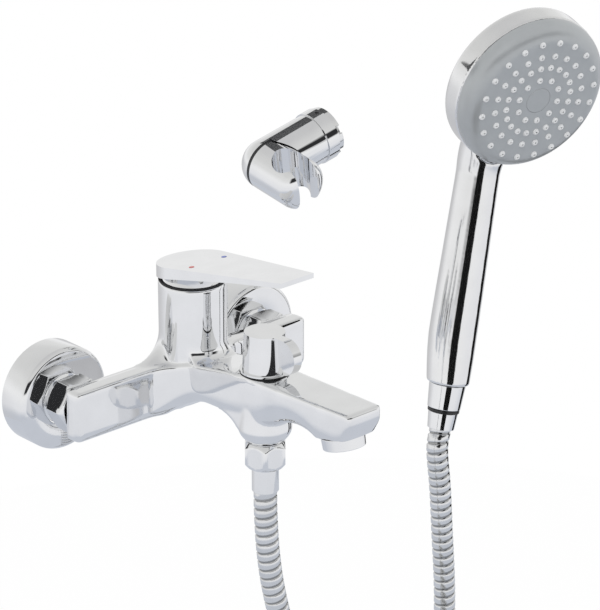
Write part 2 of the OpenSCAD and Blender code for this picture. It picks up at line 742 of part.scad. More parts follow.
module knob_grub() { color(grey) at_diverter(knob_z + 8) translate([0, diverter_spindle_r + 0.05, 0]) rotate([-90, 0, 0]) cylinder(r = 1.6, h = 6); }

// Aerator

module aerator_ring() {
    color(chrome) at_aerator() difference() {
        union() {
            translate([0, 0, -aerator_h]) cylinder(d1 = aerator_d - 0.8, d2 = aerator_d, h = aerator_h);
            cylinder(r = aerator_thread_r, h = 6.8);
        }
        translate([0, 0, -aerator_h - 1]) cylinder(r = aerator_thread_r - 1.3, h = 20);
    }
}

module aerator_insert() {
    color(plastic) at_aerator() translate([0, 0, -aerator_h + 0.8]) difference() {
        cylinder(r = aerator_thread_r - 1.3 - 0.05, h = aerator_h + 5.6);
        for (i = [0 : 5]) rotate([0, 0, 60 * i]) translate([5.4, 0, -1]) cylinder(r = 1.9, h = 30);
        translate([0, 0, -1]) cylinder(r = 2.2, h = 30);
    }
}

module aerator_washer() { color(black) at_aerator() translate([0, 0, 6.8]) tube(aerator_thread_r - 0.1, aerator_thread_r - 3.5, 1.9); }

// Shower outlet and hose end

module outlet_nipple() {
    color(chrome) at_diverter(0) difference() {
        union() {
            translate([0, 0, nipple_end_z]) cylinder(r = outlet_r, h = -boss_drop - nipple_end_z);
            translate([0, 0, -boss_drop - 0.5]) cylinder(r = outlet_r - 1.5 - seat_fit, h = boss_drop + valve_z - 1.6);
        }
        translate([0, 0, nipple_end_z - 1]) cylinder(r = 6.5, h = 60);
    }
}

module check_valve() {
    color(plastic) at_diverter(nipple_end_z + 1) difference() {
        cylinder(r = 6.45, h = 11);
        for (i = [0 : 2]) rotate([0, 0, 120 * i]) translate([3.4, 0, -1]) cylinder(r = 1.8, h = 30);
    }
}

module outlet_washer() { color(black) at_diverter(nipple_end_z - outlet_washer_t) tube(outlet_r - 0.3, 5, outlet_washer_t); }

module hose_nut() {
    color(chrome) at_diverter(0) difference() {
        translate([0, 0, nut_foot_z]) rotate([0, 0, 48]) hex_blank(hose_nut_af, hose_nut_len, 3.2);
        translate([0, 0, nut_foot_z + hose_lip]) cylinder(r = outlet_r + seat_fit, h = 60);
        translate([0, 0, nut_foot_z - 1]) cylinder(r = ferrule_r + seat_fit, h = 60);
    }
}

module hose_ferrule() {
    color(chrome) at_diverter(0) difference() {
        union() {
            translate([0, 0, ferrule_z]) cylinder(r = ferrule_r, h = nut_foot_z + hose_lip - ferrule_z);
            translate([0, 0, nut_foot_z + hose_lip]) cylinder(r = outlet_r - 0.3, h = ferrule_collar);
        }
        translate([0, 0, ferrule_z - 1]) cylinder(r = hose_bore_r, h = 60);
    }
}

// Hose

function unit(v) = v / norm(v);
function knot(p, i) = p[max(0, min(len(p) - 1, i))];

// Smooth curve through the route's points, with straight ends
function along(p, u) = let(
    n = len(p) - 1, s = min(n - 1, floor(u * n)), t = u * n - s,
    a = s == 0 ? 2 * p[0] - p[1] : p[s - 1], b = p[s], c = p[s + 1],
    d = s == n - 1 ? 2 * p[n] - p[n - 1] : p[s + 2]
) 0.5 * (2 * b + (c - a) * t + (2 * a - 5 * b + 4 * c - d) * t * t + (3 * b - a - 3 * c + d) * t * t * t);

function coil_at(u) = let(t = 360 * coil_turns * u)
    [coil_start[0] + coil_r * (1 - cos(t)), coil_start[1] + (coil_finish[1] - coil_start[1]) * u, coil_start[2] - coil_r * sin(t)];

function tangents(p, first, last) = [for (i = [0 : len(p) - 1])
    i == 0 ? unit(first) : i == len(p) - 1 ? unit(last) : unit(p[i + 1] - p[i - 1])];

function circle_at(c, t, r) = let(b = unit(cross(t, [0, 1, 0])), n = cross(b, t))
    [for (k = [0 : 7]) c + r * (cos(45 * k + 22.5) * b + sin(45 * k + 22.5) * n)];

// Ribbed tube with a bore: two outer rings a rib, and a smooth inner wall
module ribbed_tube(p, first, last) {
    t = tangents(p, first, last);
    n = len(p);
    outer = [for (i = [0 : n - 1]) each circle_at(p[i], t[i], i % 2 == 0 ? hose_r - rib_depth : hose_r)];
    step = 4;
    inner_at = [for (i = [0 : step : n - 1]) i];
    m = len(inner_at);
    inner = [for (i = inner_at) each circle_at(p[i], t[i], hose_bore_r)];
    base = 8 * n;
    last_in = base + 8 * (m - 1);
    last_out = 8 * (n - 1);
    polyhedron(concat(outer, inner), concat(
        [for (i = [0 : n - 2], k = [0 : 7]) let(j = (k + 1) % 8) each [[8 * i + k, 8 * i + 8 + k, 8 * i + 8 + j], [8 * i + k, 8 * i + 8 + j, 8 * i + j]]],
        [for (i = [0 : m - 2], k = [0 : 7]) let(j = (k + 1) % 8, q = base + 8 * i) each [[q + k, q + 8 + j, q + 8 + k], [q + k, q + j, q + 8 + j]]],
        [for (k = [0 : 7]) let(j = (k + 1) % 8) each [[k, j, base + j], [k, base + j, base + k]]],
        [for (k = [0 : 7]) let(j = (k + 1) % 8) each [[last_out + k, last_in + j, last_out + j], [last_out + k, last_in + k, last_in + j]]]
    ));
}

path_from_mixer = [for (i = [0 : 2 * ribs_mixer]) along(route_from_mixer, i / (2 * ribs_mixer))];
path_coil = [for (i = [0 : 2 * ribs_coil]) coil_at(i / (2 * ribs_coil))];
path_to_handset = [for (i = [0 : 2 * ribs_handset]) along(route_to_handset, i / (2 * ribs_handset))];
down = [0, 0, -1];

module hose_from_mixer() { color(grey) ribbed_tube(path_from_mixer, down, down); }
module hose_coil() { color(grey) ribbed_tube(path_coil, down, -down); }
module hose_to_handset() { color(grey) ribbed_tube(path_to_handset, -down, handset_axis); }

// Length of the hose, and the least gap between stretches that pass each other
function path_length(p) = [for (i = [1 : len(p) - 1]) norm(p[i] - p[i - 1])] * [for (i = [1 : len(p) - 1]) 1];
whole_path = concat(path_from_mixer, path_coil, path_to_handset);
apart = 20;
least_gap = min([for (i = [0 : len(whole_path) - 1 - apart]) min([for (j = [i + apart : len(whole_path) - 1]) norm(whole_path[i] - whole_path[j])])]) - hose_d;
echo(hose_length = path_length(path_from_mixer) + path_length(path_coil) + path_length(path_to_handset), least_gap = least_gap);

// Strap round the turns at the foot of the coil
module hose_tie() {
    y0 = coil_at(0.25 / coil_turns)[1];
    y1 = coil_at((coil_turns - 0.25) / coil_turns)[1];
    z = coil_start[2] - coil_r;
    ri = hose_r + tie_gap;
    color(black) translate([coil_start[0] + coil_r, 0, 0]) across(tie_w) difference() {
        union() { for (y = [y0, y1]) translate([y, z]) circle(r = ri + tie_t); translate([y0, z - ri - tie_t]) square([y1 - y0, 2 * (ri + tie_t)]); }
        union() { for (y = [y0, y1]) translate([y, z]) circle(r = ri); translate([y0, z - ri]) square([y1 - y0, 2 * ri]); }
    }
}

// Hose end at the handset

module cone_sleeve() {
    color(chrome) at_handset() difference() {
        union() {
            translate([0, 0, sleeve_end]) cylinder(r1 = hose_r + 1.6, r2 = hose_r + 2.6, h = sleeve_len);
            translate([0, 0, sleeve_end + 1]) cylinder(r = sleeve_neck_r, h = nut_low + cone_lip + body_gap + 1 - sleeve_end);
            translate([0, 0, nut_low + cone_lip + body_gap]) cylinder(r = sleeve_collar_r, h = sleeve_collar_t);
        }
        translate([0, 0, sleeve_end - 1]) cylinder(r = hose_bore_r, h = 80);
    }
}

module swivel_ring() { color(black) at_handset() translate([0, 0, sleeve_top + 0.1]) tube(hose_r + 3.2, sleeve_neck_r + seat_fit, ring_h - body_gap - 0.1); }

module cone_nut() {
    foot_nut_r = cone_nut_r - 1.2;
    color(chrome) at_handset() difference() {
        translate([0, 0, nut_low]) cylinder(r1 = foot_nut_r, r2 = cone_nut_r, h = cone_nut_len);
        translate([0, 0, nut_low - 1]) cylinder(r = sleeve_neck_r + run_fit, h = 80);
        translate([0, 0, nut_low + cone_lip]) cylinder(r = sleeve_collar_r + body_gap, h = 80);
        translate([0, 0, thread_end]) cylinder(r = handset_thread_r + seat_fit, h = 80);
    }
}

module cone_washer() { color(black) at_handset() translate([0, 0, nut_low + cone_lip + body_gap + sleeve_collar_t + 0.05]) tube(sleeve_collar_r, hose_bore_r, cone_washer_t); }

// Handset

// Disc with flat sides that just holds a round one, to hull a blend onto a round handle
module blend_disc(r) { cylinder(r = r / cos(180 / 48) + 0.02, h = 1, $fn = 48); }

module handle_form() {
    hull() {
        cylinder(r = handle_end_r, h = 1, $fn = 48);
        translate([0, handle_bow, handle_mid_z]) blend_disc(handle_mid_r);
    }
    translate([0, handle_bow, 0]) rotate_extrude() polygon([[0, handle_mid_z + 0.4], [handle_mid_r, handle_mid_z + 0.4], [handle_mid_r, handle_mid_z + 2],
        [(handle_mid_r + handle_top_r) / 2, 82], [handle_top_r, handle_neck_z - 2], [handle_top_r, handle_neck_z + 0.6], [0, handle_neck_z + 0.6]]);
}

// Back of the head, turned about its own axis: rim, rounded edge and shallow cone
module head_form() {
    r = head_d / 2;
    round = 4;
    rotate_extrude() {
        translate([0, -rim_depth + round]) square([r, rim_depth - round]);
        translate([0, -rim_depth]) square([r - round, rim_depth]);
        translate([r - round, -rim_depth + round]) circle(r = round);
        polygon([[0, -rim_depth - 7], [8, -rim_depth - 7], [r * 0.45, -rim_depth - 5.5], [r - round - 1, -rim_depth + 0.05], [0, -rim_depth + 1]]);
    }
}

module neck_form() {
    hull() {
        translate([0, handle_bow, handle_neck_z]) blend_disc(handle_top_r);
        translate([0, -head_fwd, head_up]) rotate([90 + head_tilt, 0, 0]) translate([0, -neck_down, -rim_depth - 3]) cylinder(r = neck_r, h = 6, $fn = 32);
    }
}

module handset_shell() {
    r = head_d / 2;
    color(chrome) difference() {
        union() {
            at_handset() handle_form();
            at_handset() neck_form();
            at_head() head_form();
            at_handset() translate([0, 0, thread_end + 0.3]) cylinder(r = handset_thread_r, h = 1 - thread_end);
        }
        at_head() translate([0, 0, -rim_depth + 3]) difference() {
            cylinder(r = r - shell_wall, h = rim_depth);
            translate([0, 0, -1]) tube(screw_r + 2.5, screw_r + 0.02, rim_depth - 4.1);
        }
        at_handset() translate([0, 0, thread_end - 1]) cylinder(r = handset_thread_r - 3, h = 40);
        at_handset() translate([0, handle_bow / 2, 4]) cylinder(r = handle_bore_r, h = handle_len - 12);
        at_handset() translate([0, handle_bow / 2, handle_len - 14]) rotate([head_tilt, 0, 0]) cylinder(r = handle_bore_r - 2, h = 36);
    }
}

// Face profile: flat front with a rounded edge
module face_outline(r, top, round) {
    translate([0, 0]) square([r, top - round]);
    square([r - round, top]);
    translate([r - round, top - round]) circle(r = round);
}

module nozzle_places() {
    for (i = [0 : len(ring_radii) - 1], k = [0 : ring_counts[i] - 1]) rotate([0, 0, ring_turn + 360 / ring_counts[i] * k]) translate([ring_radii[i], 0, 0]) children();
}

module handset_face() {
    r = head_d / 2 - 0.5;
    color("darkgray") at_head() difference() {
        rotate_extrude() difference() {
            intersection() { face_outline(r, face_h, face_round); square([r, face_h]); }
            translate([-0.1, -0.1]) intersection() { face_outline(r - face_wall, face_h - face_wall, face_round - face_wall); translate([cap_r, 0]) square([r, face_h]); }
            square([cap_r, screw_head_z - 2]);
        }
        nozzle_places() cylinder(r = nozzle_r + 0.1, h = face_h + 5);
        translate([0, 0, cap_seat]) cylinder(r = cap_r + 0.1, h = face_h);
        cylinder(r = screw_r + 0.1, h = face_h);
        translate([0, 0, screw_head_z]) cylinder(r = screw_head_r + 0.1, h = face_h);
    }
}

module nozzle_set() {
    root = face_h - face_wall - membrane_t - 0.8;
    color("white") at_head() difference() {
        union() {
            translate([0, 0, root]) tube(ring_radii[3] + 2.2, cap_r + 1, membrane_t);
            nozzle_places() translate([0, 0, root]) cylinder(r1 = nozzle_r, r2 = nozzle_r - 0.4, h = face_h + 1 - root);
        }
        nozzle_places() translate([0, 0, root - 1]) cylinder(r = 0.55, h = 40);
    }
}

module face_cap() { color("darkgray") at_head() translate([0, 0, cap_seat]) cylinder(r = cap_r, h = face_h + 0.2 - cap_seat); }

module face_screw() {
    color(grey) at_head() {
        translate([0, 0, screw_head_z]) cylinder(r = screw_head_r, h = 2.2);
        translate([0, 0, -9]) cylinder(r = screw_r, h = screw_head_z + 10);
    }
}

module jet_plate() {
    color(plastic) at_head() translate([0, 0, -2]) difference() {
        cylinder(r = plate_r, h = 3);
        translate([0, 0, -1]) cylinder(r = screw_r + 0.1, h = 8);
        for (i = [0 : 7]) rotate([0, 0, 45 * i]) translate([26, 0, -1]) cylinder(r = 3, h = 8);
    }
}

module face_seal() { color(black) at_head() translate([0, 0, -2]) tube(head_d / 2 - shell_wall - 0.05, plate_r + 0.05, 1.9); }

// Bracket, with its wall at x = 0, its barrel along -X and its cradle along -Y

module bracket_plate() {
    color(plastic) at_bracket() difference() {
        translate([-plate_t - 5, 0, 0]) rotate([0, 90, 0]) union() {
            translate([0, 0, 5]) cylinder(r = foot_r - 1, h = plate_t);
            cylinder(r = foot_r - 3, h = 6);
        }
        translate([-20, 0, 0]) rotate([0, 90, 0]) cylinder(r = screw_hole_r, h = 40);
        for (a = [60, 120, 240, 300]) rotate([a, 0, 0]) translate([-plate_t + 1.6, -2.2, foot_r - 3]) cube([plate_t, 4.4, 6]);
    }
}

module bracket_foot() {
    color(chrome) at_bracket() translate([-plate_t - foot_len, 0, 0]) difference() {
        rotate([0, 90, 0]) cylinder(r = foot_r, h = foot_len - 0.1);
        translate([-1, 0, 0]) rotate([0, 90, 0]) cylinder(r = foot_r - 3 + seat_fit, h = foot_len + 5);
        translate([foot_len - 2.8, 0, 0]) cylinder(r = 1.3, h = 40);
    }
}

module bracket_grub() { color(black) at_bracket() translate([-plate_t - 2.8, 0, foot_r - 3 + seat_fit]) cylinder(r = 1.25, h = 2); }

module bracket_barrel() {
    color(chrome) at_bracket() difference() {
        intersection() {
            translate([pivot_x - barrel_r - 1, 0, 0]) rotate([0, 90, 0]) cylinder(r = barrel_r, h = barrel_len + barrel_r + 1 - 0.1);
            union() {
                translate([pivot_x, -40, -40]) cube([barrel_len + 5, 80, 80]);
                translate([pivot_x, 0, 0]) sphere(r = barrel_r);
            }
        }
        translate([pivot_x, lap / 2, 0]) rotate([90, 0, 0]) cylinder(r = barrel_r + body_gap + 0.3, h = 40);
        translate([pivot_x, 40, 0]) rotate([90, 0, 0]) cylinder(r = bracket_pivot_r + 0.02, h = 80);
        translate([pivot_x, 40, 0]) rotate([90, 0, 0]) cylinder(r = bracket_pivot_r + 2.6, h = 32);
        translate([-plate_t - foot_len - 14, 0, 0]) rotate([0, 90, 0]) cylinder(r = barrel_r - 4, h = 40);
    }
    color(chrome) at_bracket() translate([-plate_t - foot_len - 0.5, 0, 0]) rotate([0, 90, 0]) tube(foot_r - 3, barrel_r - 4, 3.3);
}

module bracket_pivot() {
    color(grey) at_bracket() translate([pivot_x, 0, 0]) rotate([90, 0, 0]) {
        translate([0, 0, -8]) cylinder(r = bracket_pivot_r, h = 16.5);
        translate([0, 0, -11]) cylinder(r = bracket_pivot_r + 2.4, h = 3);
    }
}

module bracket_washer() { color(black) at_bracket() translate([pivot_x, lap / 2, 0]) rotate([90, 0, 0]) tube(barrel_r - 0.15, bracket_pivot_r + 0.2, lap - 0.1); }

module bracket_cradle() {
    round = 9;
    color(chrome) at_bracket() translate([pivot_x, -lap / 2, 0]) difference() {
        rotate([90, 0, 0]) rotate_extrude() intersection() {
            union() {
                square([barrel_r, cradle_len - round]);
                square([barrel_r - round, cradle_len]);
                translate([barrel_r - round, cradle_len - round]) circle(r = round);
            }
            square([barrel_r, cradle_len]);
        }
        translate([0, -socket_off, -barrel_r - 1]) cylinder(r1 = socket_foot_r, r2 = socket_top_r, h = 2 * barrel_r + 2);
        translate([-slot_w / 2, -cradle_len - 1, -40]) cube([slot_w, cradle_len - socket_off + 1, 80]);
        translate([0, 1, 0]) rotate([90, 0, 0]) cylinder(r = bracket_pivot_r + run_fit, h = 10);
    }
}

mixer_body();
inlet_connector_left();
inlet_connector_right();
escutcheon_left();
escutcheon_right();
union_nut_left();
union_nut_right();
inlet_washer_left();
inlet_washer_right();
cartridge_body();
fixed_disc();
moving_disc();
cartridge_carrier();
cartridge_nut();
trim_dome();
rim_seal();
lever();
lever_spindle();
pivot_pin();
lever_grub();
hot_mark();
cold_mark();
diverter_bonnet();
diverter_ring();
diverter_knob();
diverter_spindle();
knob_grub();
aerator_ring();
aerator_insert();
aerator_washer();
outlet_nipple();
check_valve();
outlet_washer();
hose_nut();
hose_ferrule();
hose_from_mixer();
hose_coil();
hose_to_handset();
hose_tie();
cone_sleeve();
swivel_ring();
cone_nut();
cone_washer();
handset_shell();
handset_face();
nozzle_set();
face_cap();
face_screw();
jet_plate();
face_seal();
bracket_plate();
bracket_foot();
bracket_barrel();
bracket_cradle();
bracket_pivot();
bracket_washer();
bracket_grub();
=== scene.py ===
"""Visual model of a wall-mounted bath and shower mixer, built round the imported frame."""

import json
import math

import bmesh
import bpy
from bpy.props import FloatProperty, FloatVectorProperty, IntProperty, PointerProperty
from bpy.types import Operator, Panel, PropertyGroup
from mathutils import Matrix, Vector


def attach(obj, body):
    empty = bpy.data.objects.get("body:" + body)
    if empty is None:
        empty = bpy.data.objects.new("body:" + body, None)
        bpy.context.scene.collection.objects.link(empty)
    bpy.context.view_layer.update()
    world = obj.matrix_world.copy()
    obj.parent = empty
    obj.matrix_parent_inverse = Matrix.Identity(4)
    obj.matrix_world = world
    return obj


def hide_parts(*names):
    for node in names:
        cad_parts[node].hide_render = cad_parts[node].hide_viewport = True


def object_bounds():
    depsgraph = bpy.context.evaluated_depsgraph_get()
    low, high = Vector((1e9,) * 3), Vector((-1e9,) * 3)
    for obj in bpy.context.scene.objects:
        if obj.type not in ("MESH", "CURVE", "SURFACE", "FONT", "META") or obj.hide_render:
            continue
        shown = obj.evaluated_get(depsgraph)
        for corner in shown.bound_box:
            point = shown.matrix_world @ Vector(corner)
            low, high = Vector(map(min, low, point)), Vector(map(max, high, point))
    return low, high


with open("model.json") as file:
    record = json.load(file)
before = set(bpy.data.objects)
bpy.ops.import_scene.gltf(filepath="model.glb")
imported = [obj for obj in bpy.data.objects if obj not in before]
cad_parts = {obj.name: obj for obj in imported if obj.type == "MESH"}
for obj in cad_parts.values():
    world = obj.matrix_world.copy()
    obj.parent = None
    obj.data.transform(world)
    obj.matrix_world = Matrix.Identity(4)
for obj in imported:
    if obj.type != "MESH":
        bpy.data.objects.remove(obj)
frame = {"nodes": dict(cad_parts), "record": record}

bl_info = {
    "name": "Bath and shower mixer",
    "version": (1, 0, 0),
    "blender": (4, 5, 0),
    "location": "View3D > Sidebar > Mixer",
    "description": "Builds the visible pieces of a bath and shower mixer round its packed frame",
    "category": "Object",
}

CAD_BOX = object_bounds()
MM = 0.001
UP = Vector((0, 0, 1))

# Gaps in millimetres and angles in degrees
MERGE_GAP = 1e-4
CUT_GAP = 1e-5
WELD_GAP = 0.002
STRIP_GAP = 0.01
FLAT_ANGLE = 0.4
SHARP_ANGLE = 30.0
HOSE_ANGLE = 50.0
ROUND_STEPS = 96


# Sizes and colours that a user would change


class StageSettings(PropertyGroup):
    """Camera, floor and light."""

    camera_place: FloatVectorProperty(name="Camera place", description="Where the camera stands",
                                      default=(-1.06505, -1.30686, 0.7085), subtype="TRANSLATION")
    camera_azimuth: FloatProperty(name="Camera azimuth", description="Turn of the camera about the vertical",
                                  default=math.radians(-42.441), subtype="ANGLE")
    camera_elevation: FloatProperty(name="Camera elevation", description="How far the camera looks down",
                                    default=math.radians(21.863), subtype="ANGLE")
    camera_lens: FloatProperty(name="Lens", description="Focal length on a 36 mm wide sensor",
                               default=180.37, unit="CAMERA")
    floor_radius: FloatProperty(name="Floor radius", description="Radius of the round floor",
                                default=0.62, unit="LENGTH")
    floor_drop: FloatProperty(name="Floor gap", description="Gap between the lowest piece and the floor",
                              default=0.002, unit="LENGTH")
    key_power: FloatProperty(name="Key lamp", description="Power of the soft key lamp",
                             default=14.0, unit="POWER")


class FinishSettings(PropertyGroup):
    """Colours of the finishes."""

    chrome: FloatVectorProperty(name="Chrome", description="Colour of the plated brass",
                                default=(0.87, 0.875, 0.885), subtype="COLOR")
    plated: FloatVectorProperty(name="Plated plastic", description="Colour of the plated handset",
                                default=(0.86, 0.862, 0.868), subtype="COLOR")
    hose: FloatVectorProperty(name="Hose", description="Colour of the hose strip",
                              default=(0.84, 0.845, 0.85), subtype="COLOR")
    brass: FloatVectorProperty(name="Brass", description="Colour of the bare brass",
                               default=(0.76, 0.57, 0.27), subtype="COLOR")
    steel: FloatVectorProperty(name="Steel", description="Colour of the screws and pins",
                               default=(0.62, 0.62, 0.63), subtype="COLOR")
    face: FloatVectorProperty(name="Spray face", description="Colour of the spray face",
                              default=(0.46, 0.48, 0.495), subtype="COLOR")
    nozzle: FloatVectorProperty(name="Nozzles", description="Colour of the soft nozzles",
                                default=(0.80, 0.81, 0.82), subtype="COLOR")
    white: FloatVectorProperty(name="White plastic", description="Colour of the white plastic",
                               default=(0.82, 0.82, 0.80), subtype="COLOR")
    black: FloatVectorProperty(name="Black", description="Colour of the seals and rings",
                               default=(0.018, 0.018, 0.02), subtype="COLOR")
    hot: FloatVectorProperty(name="Hot mark", description="Colour of the hot mark",
                             default=(0.62, 0.03, 0.025), subtype="COLOR")
    cold: FloatVectorProperty(name="Cold mark", description="Colour of the cold mark",
                              default=(0.03, 0.09, 0.52), subtype="COLOR")


class HoseSettings(PropertyGroup):
    """The hose and its ribs."""

    diameter: FloatProperty(name="Diameter", description="Outside diameter of the hose",
                            default=0.014, unit="LENGTH")
    groove: FloatProperty(name="Groove depth", description="Depth of the groove between two turns of strip",
                          default=0.0008, unit="LENGTH")
    pitch: FloatProperty(name="Pitch", description="Advance of the strip in one turn",
                         default=0.0058, unit="LENGTH")
    sides: IntProperty(name="Sides", description="Faces round the hose", default=20)


class BodySettings(PropertyGroup):
    """The mixer's body."""

    arm_half: FloatProperty(name="Half span", description="From the middle to the end of an arm",
                            default=0.0895, unit="LENGTH")
    reach: FloatProperty(name="Reach", description="From the wall to the spout's tip",
                         default=0.196, unit="LENGTH")
    housing_radius: FloatProperty(name="Housing radius", description="Radius of the cartridge housing",
                                  default=0.0205, unit="LENGTH")
    edge: FloatProperty(name="Edge", description="Rounding of the body's edges",
                        default=0.0012, unit="LENGTH")
    grain: FloatProperty(name="Blend grain", description="Cell size of the blend between the body's forms",
                         default=0.0008, unit="LENGTH")


class HandsetSettings(PropertyGroup):
    """The hand shower."""

    head_radius: FloatProperty(name="Head radius", description="Radius of the spray head",
                               default=0.051, unit="LENGTH")
    handle_radius: FloatProperty(name="Handle radius", description="Radius of the handle at its widest",
                                 default=0.0154, unit="LENGTH")
    grain: FloatProperty(name="Blend grain", description="Cell size of the blend between handle and head",
                         default=0.0009, unit="LENGTH")


class MixerSettings(PropertyGroup):
    """All settings of the mixer."""

    stage: PointerProperty(type=StageSettings)
    finish: PointerProperty(type=FinishSettings)
    hose: PointerProperty(type=HoseSettings)
    body: PointerProperty(type=BodySettings)
    handset: PointerProperty(type=HandsetSettings)


# Places of the pieces' own frames, in millimetres


def shift(x, y, z):
    return Matrix.Translation((x, y, z))


def turn(degrees, axis):
    return Matrix.Rotation(math.radians(degrees), 4, axis)


def tilted(x, y, z):
    return turn(z, "Z") @ turn(y, "Y") @ turn(x, "X")


HOUSING_Y, DIVERTER_Y = -48.5, -112.0
INLETS = (("left", -75), ("right", 75))
HEAD_TILT = 110
CONE_LENGTH = 29.9
LEVER_AXIS = shift(0, HOUSING_Y, 0)
DIVERTER_AXIS = shift(0, DIVERTER_Y, 0)
AERATOR_SEAT = shift(0, -178, 6.9) @ turn(-13, "X")
HANDSET_TURN = tilted(-5, 13, -10)
HOSE_END = Vector((182, -76, -78))
HANDSET_UP = HANDSET_TURN @ UP
HANDSET = Matrix.Translation(HOSE_END + CONE_LENGTH * HANDSET_UP) @ HANDSET_TURN
HEAD = HANDSET @ shift(0, -34, 194) @ turn(HEAD_TILT, "X")
BRACKET = shift(97, -60, 137) @ tilted(10, -14, -3)


def out_of_wall(x):
    """Frame of a piece at one inlet: its Z runs out of the wall."""
    return shift(x, 0, 0) @ turn(90, "X")


# Mesh tools


def quarter(steps):
    """Angles from zero to a right angle."""
    return [math.pi / 2 * i / steps for i in range(steps + 1)]


def hollow(radius, foot, sweep, steps):
    """A hollow quarter round as (radius, height) points, from its foot up."""
    return [(radius + sweep * (1 - math.cos(a)), foot + sweep * (1 - math.sin(a))) for a in reversed(quarter(steps))]


def everything(bm):
    return bm.verts[:] + bm.edges[:] + bm.faces[:]


def outline(bm, points, closed=True):
    """Points joined by edges: the new vertices and the new edges."""
    verts = [bm.verts.new(p) for p in points]
    pairs = list(zip(verts, verts[1:] + verts[:1]))
    return verts, [bm.edges.new(pair) for pair in (pairs if closed else pairs[:-1])]


def tidy(bm):
    """Merges what coincides and turns all faces outward."""
    bmesh.ops.remove_doubles(bm, verts=bm.verts[:], dist=MERGE_GAP)
    bmesh.ops.dissolve_degenerate(bm, edges=bm.edges[:], dist=MERGE_GAP)
    bmesh.ops.recalc_face_normals(bm, faces=bm.faces[:])


def turned(profile, rounds=(), closed=True, steps=ROUND_STEPS):
    """A piece turned about Z from (radius, height) points; rounds holds (corner, size) pairs."""
    bm = bmesh.new()
    corners, _ = outline(bm, [(r, 0, z) for r, z in profile], closed)
    for index, size in rounds:
        bmesh.ops.bevel(bm, geom=[corners[index]], offset=size, offset_type="OFFSET", segments=4,
                        profile=0.5, affect="VERTICES", material=-1)
    bmesh.ops.spin(bm, geom=bm.verts[:] + bm.edges[:], cent=(0, 0, 0), axis=(0, 0, 1),
                   angle=math.tau, steps=steps, use_merge=True)
    tidy(bm)
    return bm


def lofted(sections, caps=True):
    """Closed loops of points bridged one after another."""
    bm = bmesh.new()
    loops = [outline(bm, points)[1] for points in sections]
    for first, second in zip(loops, loops[1:]):
        bmesh.ops.bridge_loops(bm, edges=first + second)
    if caps:
        for loop in (loops[0], loops[-1]):
            bmesh.ops.contextual_create(bm, geom=loop)
    tidy(bm)
    return bm


def cut_off(bm, place, side):
    """Cuts away what lies on one side of a plane and closes the cut."""
    bmesh.ops.bisect_plane(bm, geom=everything(bm), dist=CUT_GAP, plane_co=place, plane_no=side, clear_outer=True)
    bmesh.ops.holes_fill(bm, edges=[e for e in bm.edges if e.is_boundary], sides=0)


def trimmed(bm, y, way, half_width):
    """Keeps what lies on one side of a cross plane and within a width."""
    cut_off(bm, (0, y, 0), (0, way, 0))
    for side in (1, -1):
        cut_off(bm, (side * half_width, 0, 0), (side, 0, 0))
    return bm


def hex_nut(flats, length, chamfer, bore, turn_by=0.0):
    """A hexagon nut along Z with coned ends and a bore; one corner lies turn_by degrees from X."""
    half_side = math.tau / 12

    def ring(limit, z):
        points = []
        for i in range(ROUND_STEPS):
            a = math.tau * i / ROUND_STEPS
            to_flat = math.cos((a + half_side) % (math.tau / 6) - half_side)
            r = min(flats / 2 / to_flat, limit)
            b = a + math.radians(turn_by + 30)
            points.append((r * math.cos(b), r * math.sin(b), z))
        return points

    corner = flats / 2 / math.cos(half_side)
    low = flats / 2 - 0.25 * chamfer
    heights = [0.0, 0.15, 0.3, 0.5, 0.75, 1.0]
    sections = [ring(bore, 0)]
    sections += [ring(low + (corner - low) * h, chamfer * h) for h in heights]
    sections += [ring(low + (corner - low) * h, length - chamfer * h) for h in reversed(heights)]
    sections += [ring(bore, length)]
    return lofted(sections + sections[:1], caps=False)


def cad_copy(node):
    """A merged copy of a CAD node's mesh, in millimetres."""
    bm = bmesh.new()
    bm.from_mesh(frame["nodes"][node].data)
    bm.transform(Matrix.Scale(1 / MM, 4))
    bmesh.ops.remove_doubles(bm, verts=bm.verts[:], dist=WELD_GAP)
    bmesh.ops.dissolve_limit(bm, angle_limit=math.radians(FLAT_ANGLE), verts=bm.verts[:], edges=bm.edges[:])
    return bm


def joined(*parts):
    """Several bmeshes in one; each is given with the frame that places it."""
    whole = bmesh.new()
    for bm, place in parts:
        bm.transform(place)
        mesh = bpy.data.meshes.new("part")
        bm.to_mesh(mesh)
        bm.free()
        whole.from_mesh(mesh)
        bpy.data.meshes.remove(mesh)
    return whole


def in_scene(bm, name, material):
    """Makes an object of a bmesh in metres."""
    mesh = bpy.data.meshes.new(name)
    bm.to_mesh(mesh)
    bm.free()
    mesh.materials.append(material)
    obj = bpy.data.objects.new(name, mesh)
    bpy.context.scene.collection.objects.link(obj)
    return obj


def piece(bm, name, finish, body, nodes, place=None, crease=SHARP_ANGLE):
    """Puts a bmesh in millimetres into the scene as a named piece on a body, in place of CAD nodes."""
    bm.transform(Matrix.Scale(MM, 4) @ (place or Matrix()))
    obj = in_scene(bm, name, finish_of(finish))
    obj.data.shade_smooth()
    obj.data.set_sharp_from_angle(angle=math.radians(crease))
    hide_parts(*nodes)
    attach(obj, body)
    return obj


def eased(obj, width, segments=3):
    """Rounds the sharp edges of a piece."""
    ease = obj.modifiers.new("Edges", "BEVEL")
    ease.width = width * MM
    ease.segments = segments
    ease.limit_method = "ANGLE"
    ease.angle_limit = math.radians(SHARP_ANGLE)
    ease.harden_normals = True
    return obj


def dressed(node, name, finish, body, width, segments=3):
    """The form of one CAD node as a piece with rounded edges."""
    return eased(piece(cad_copy(node), name, finish, body, (node,)), width, segments)


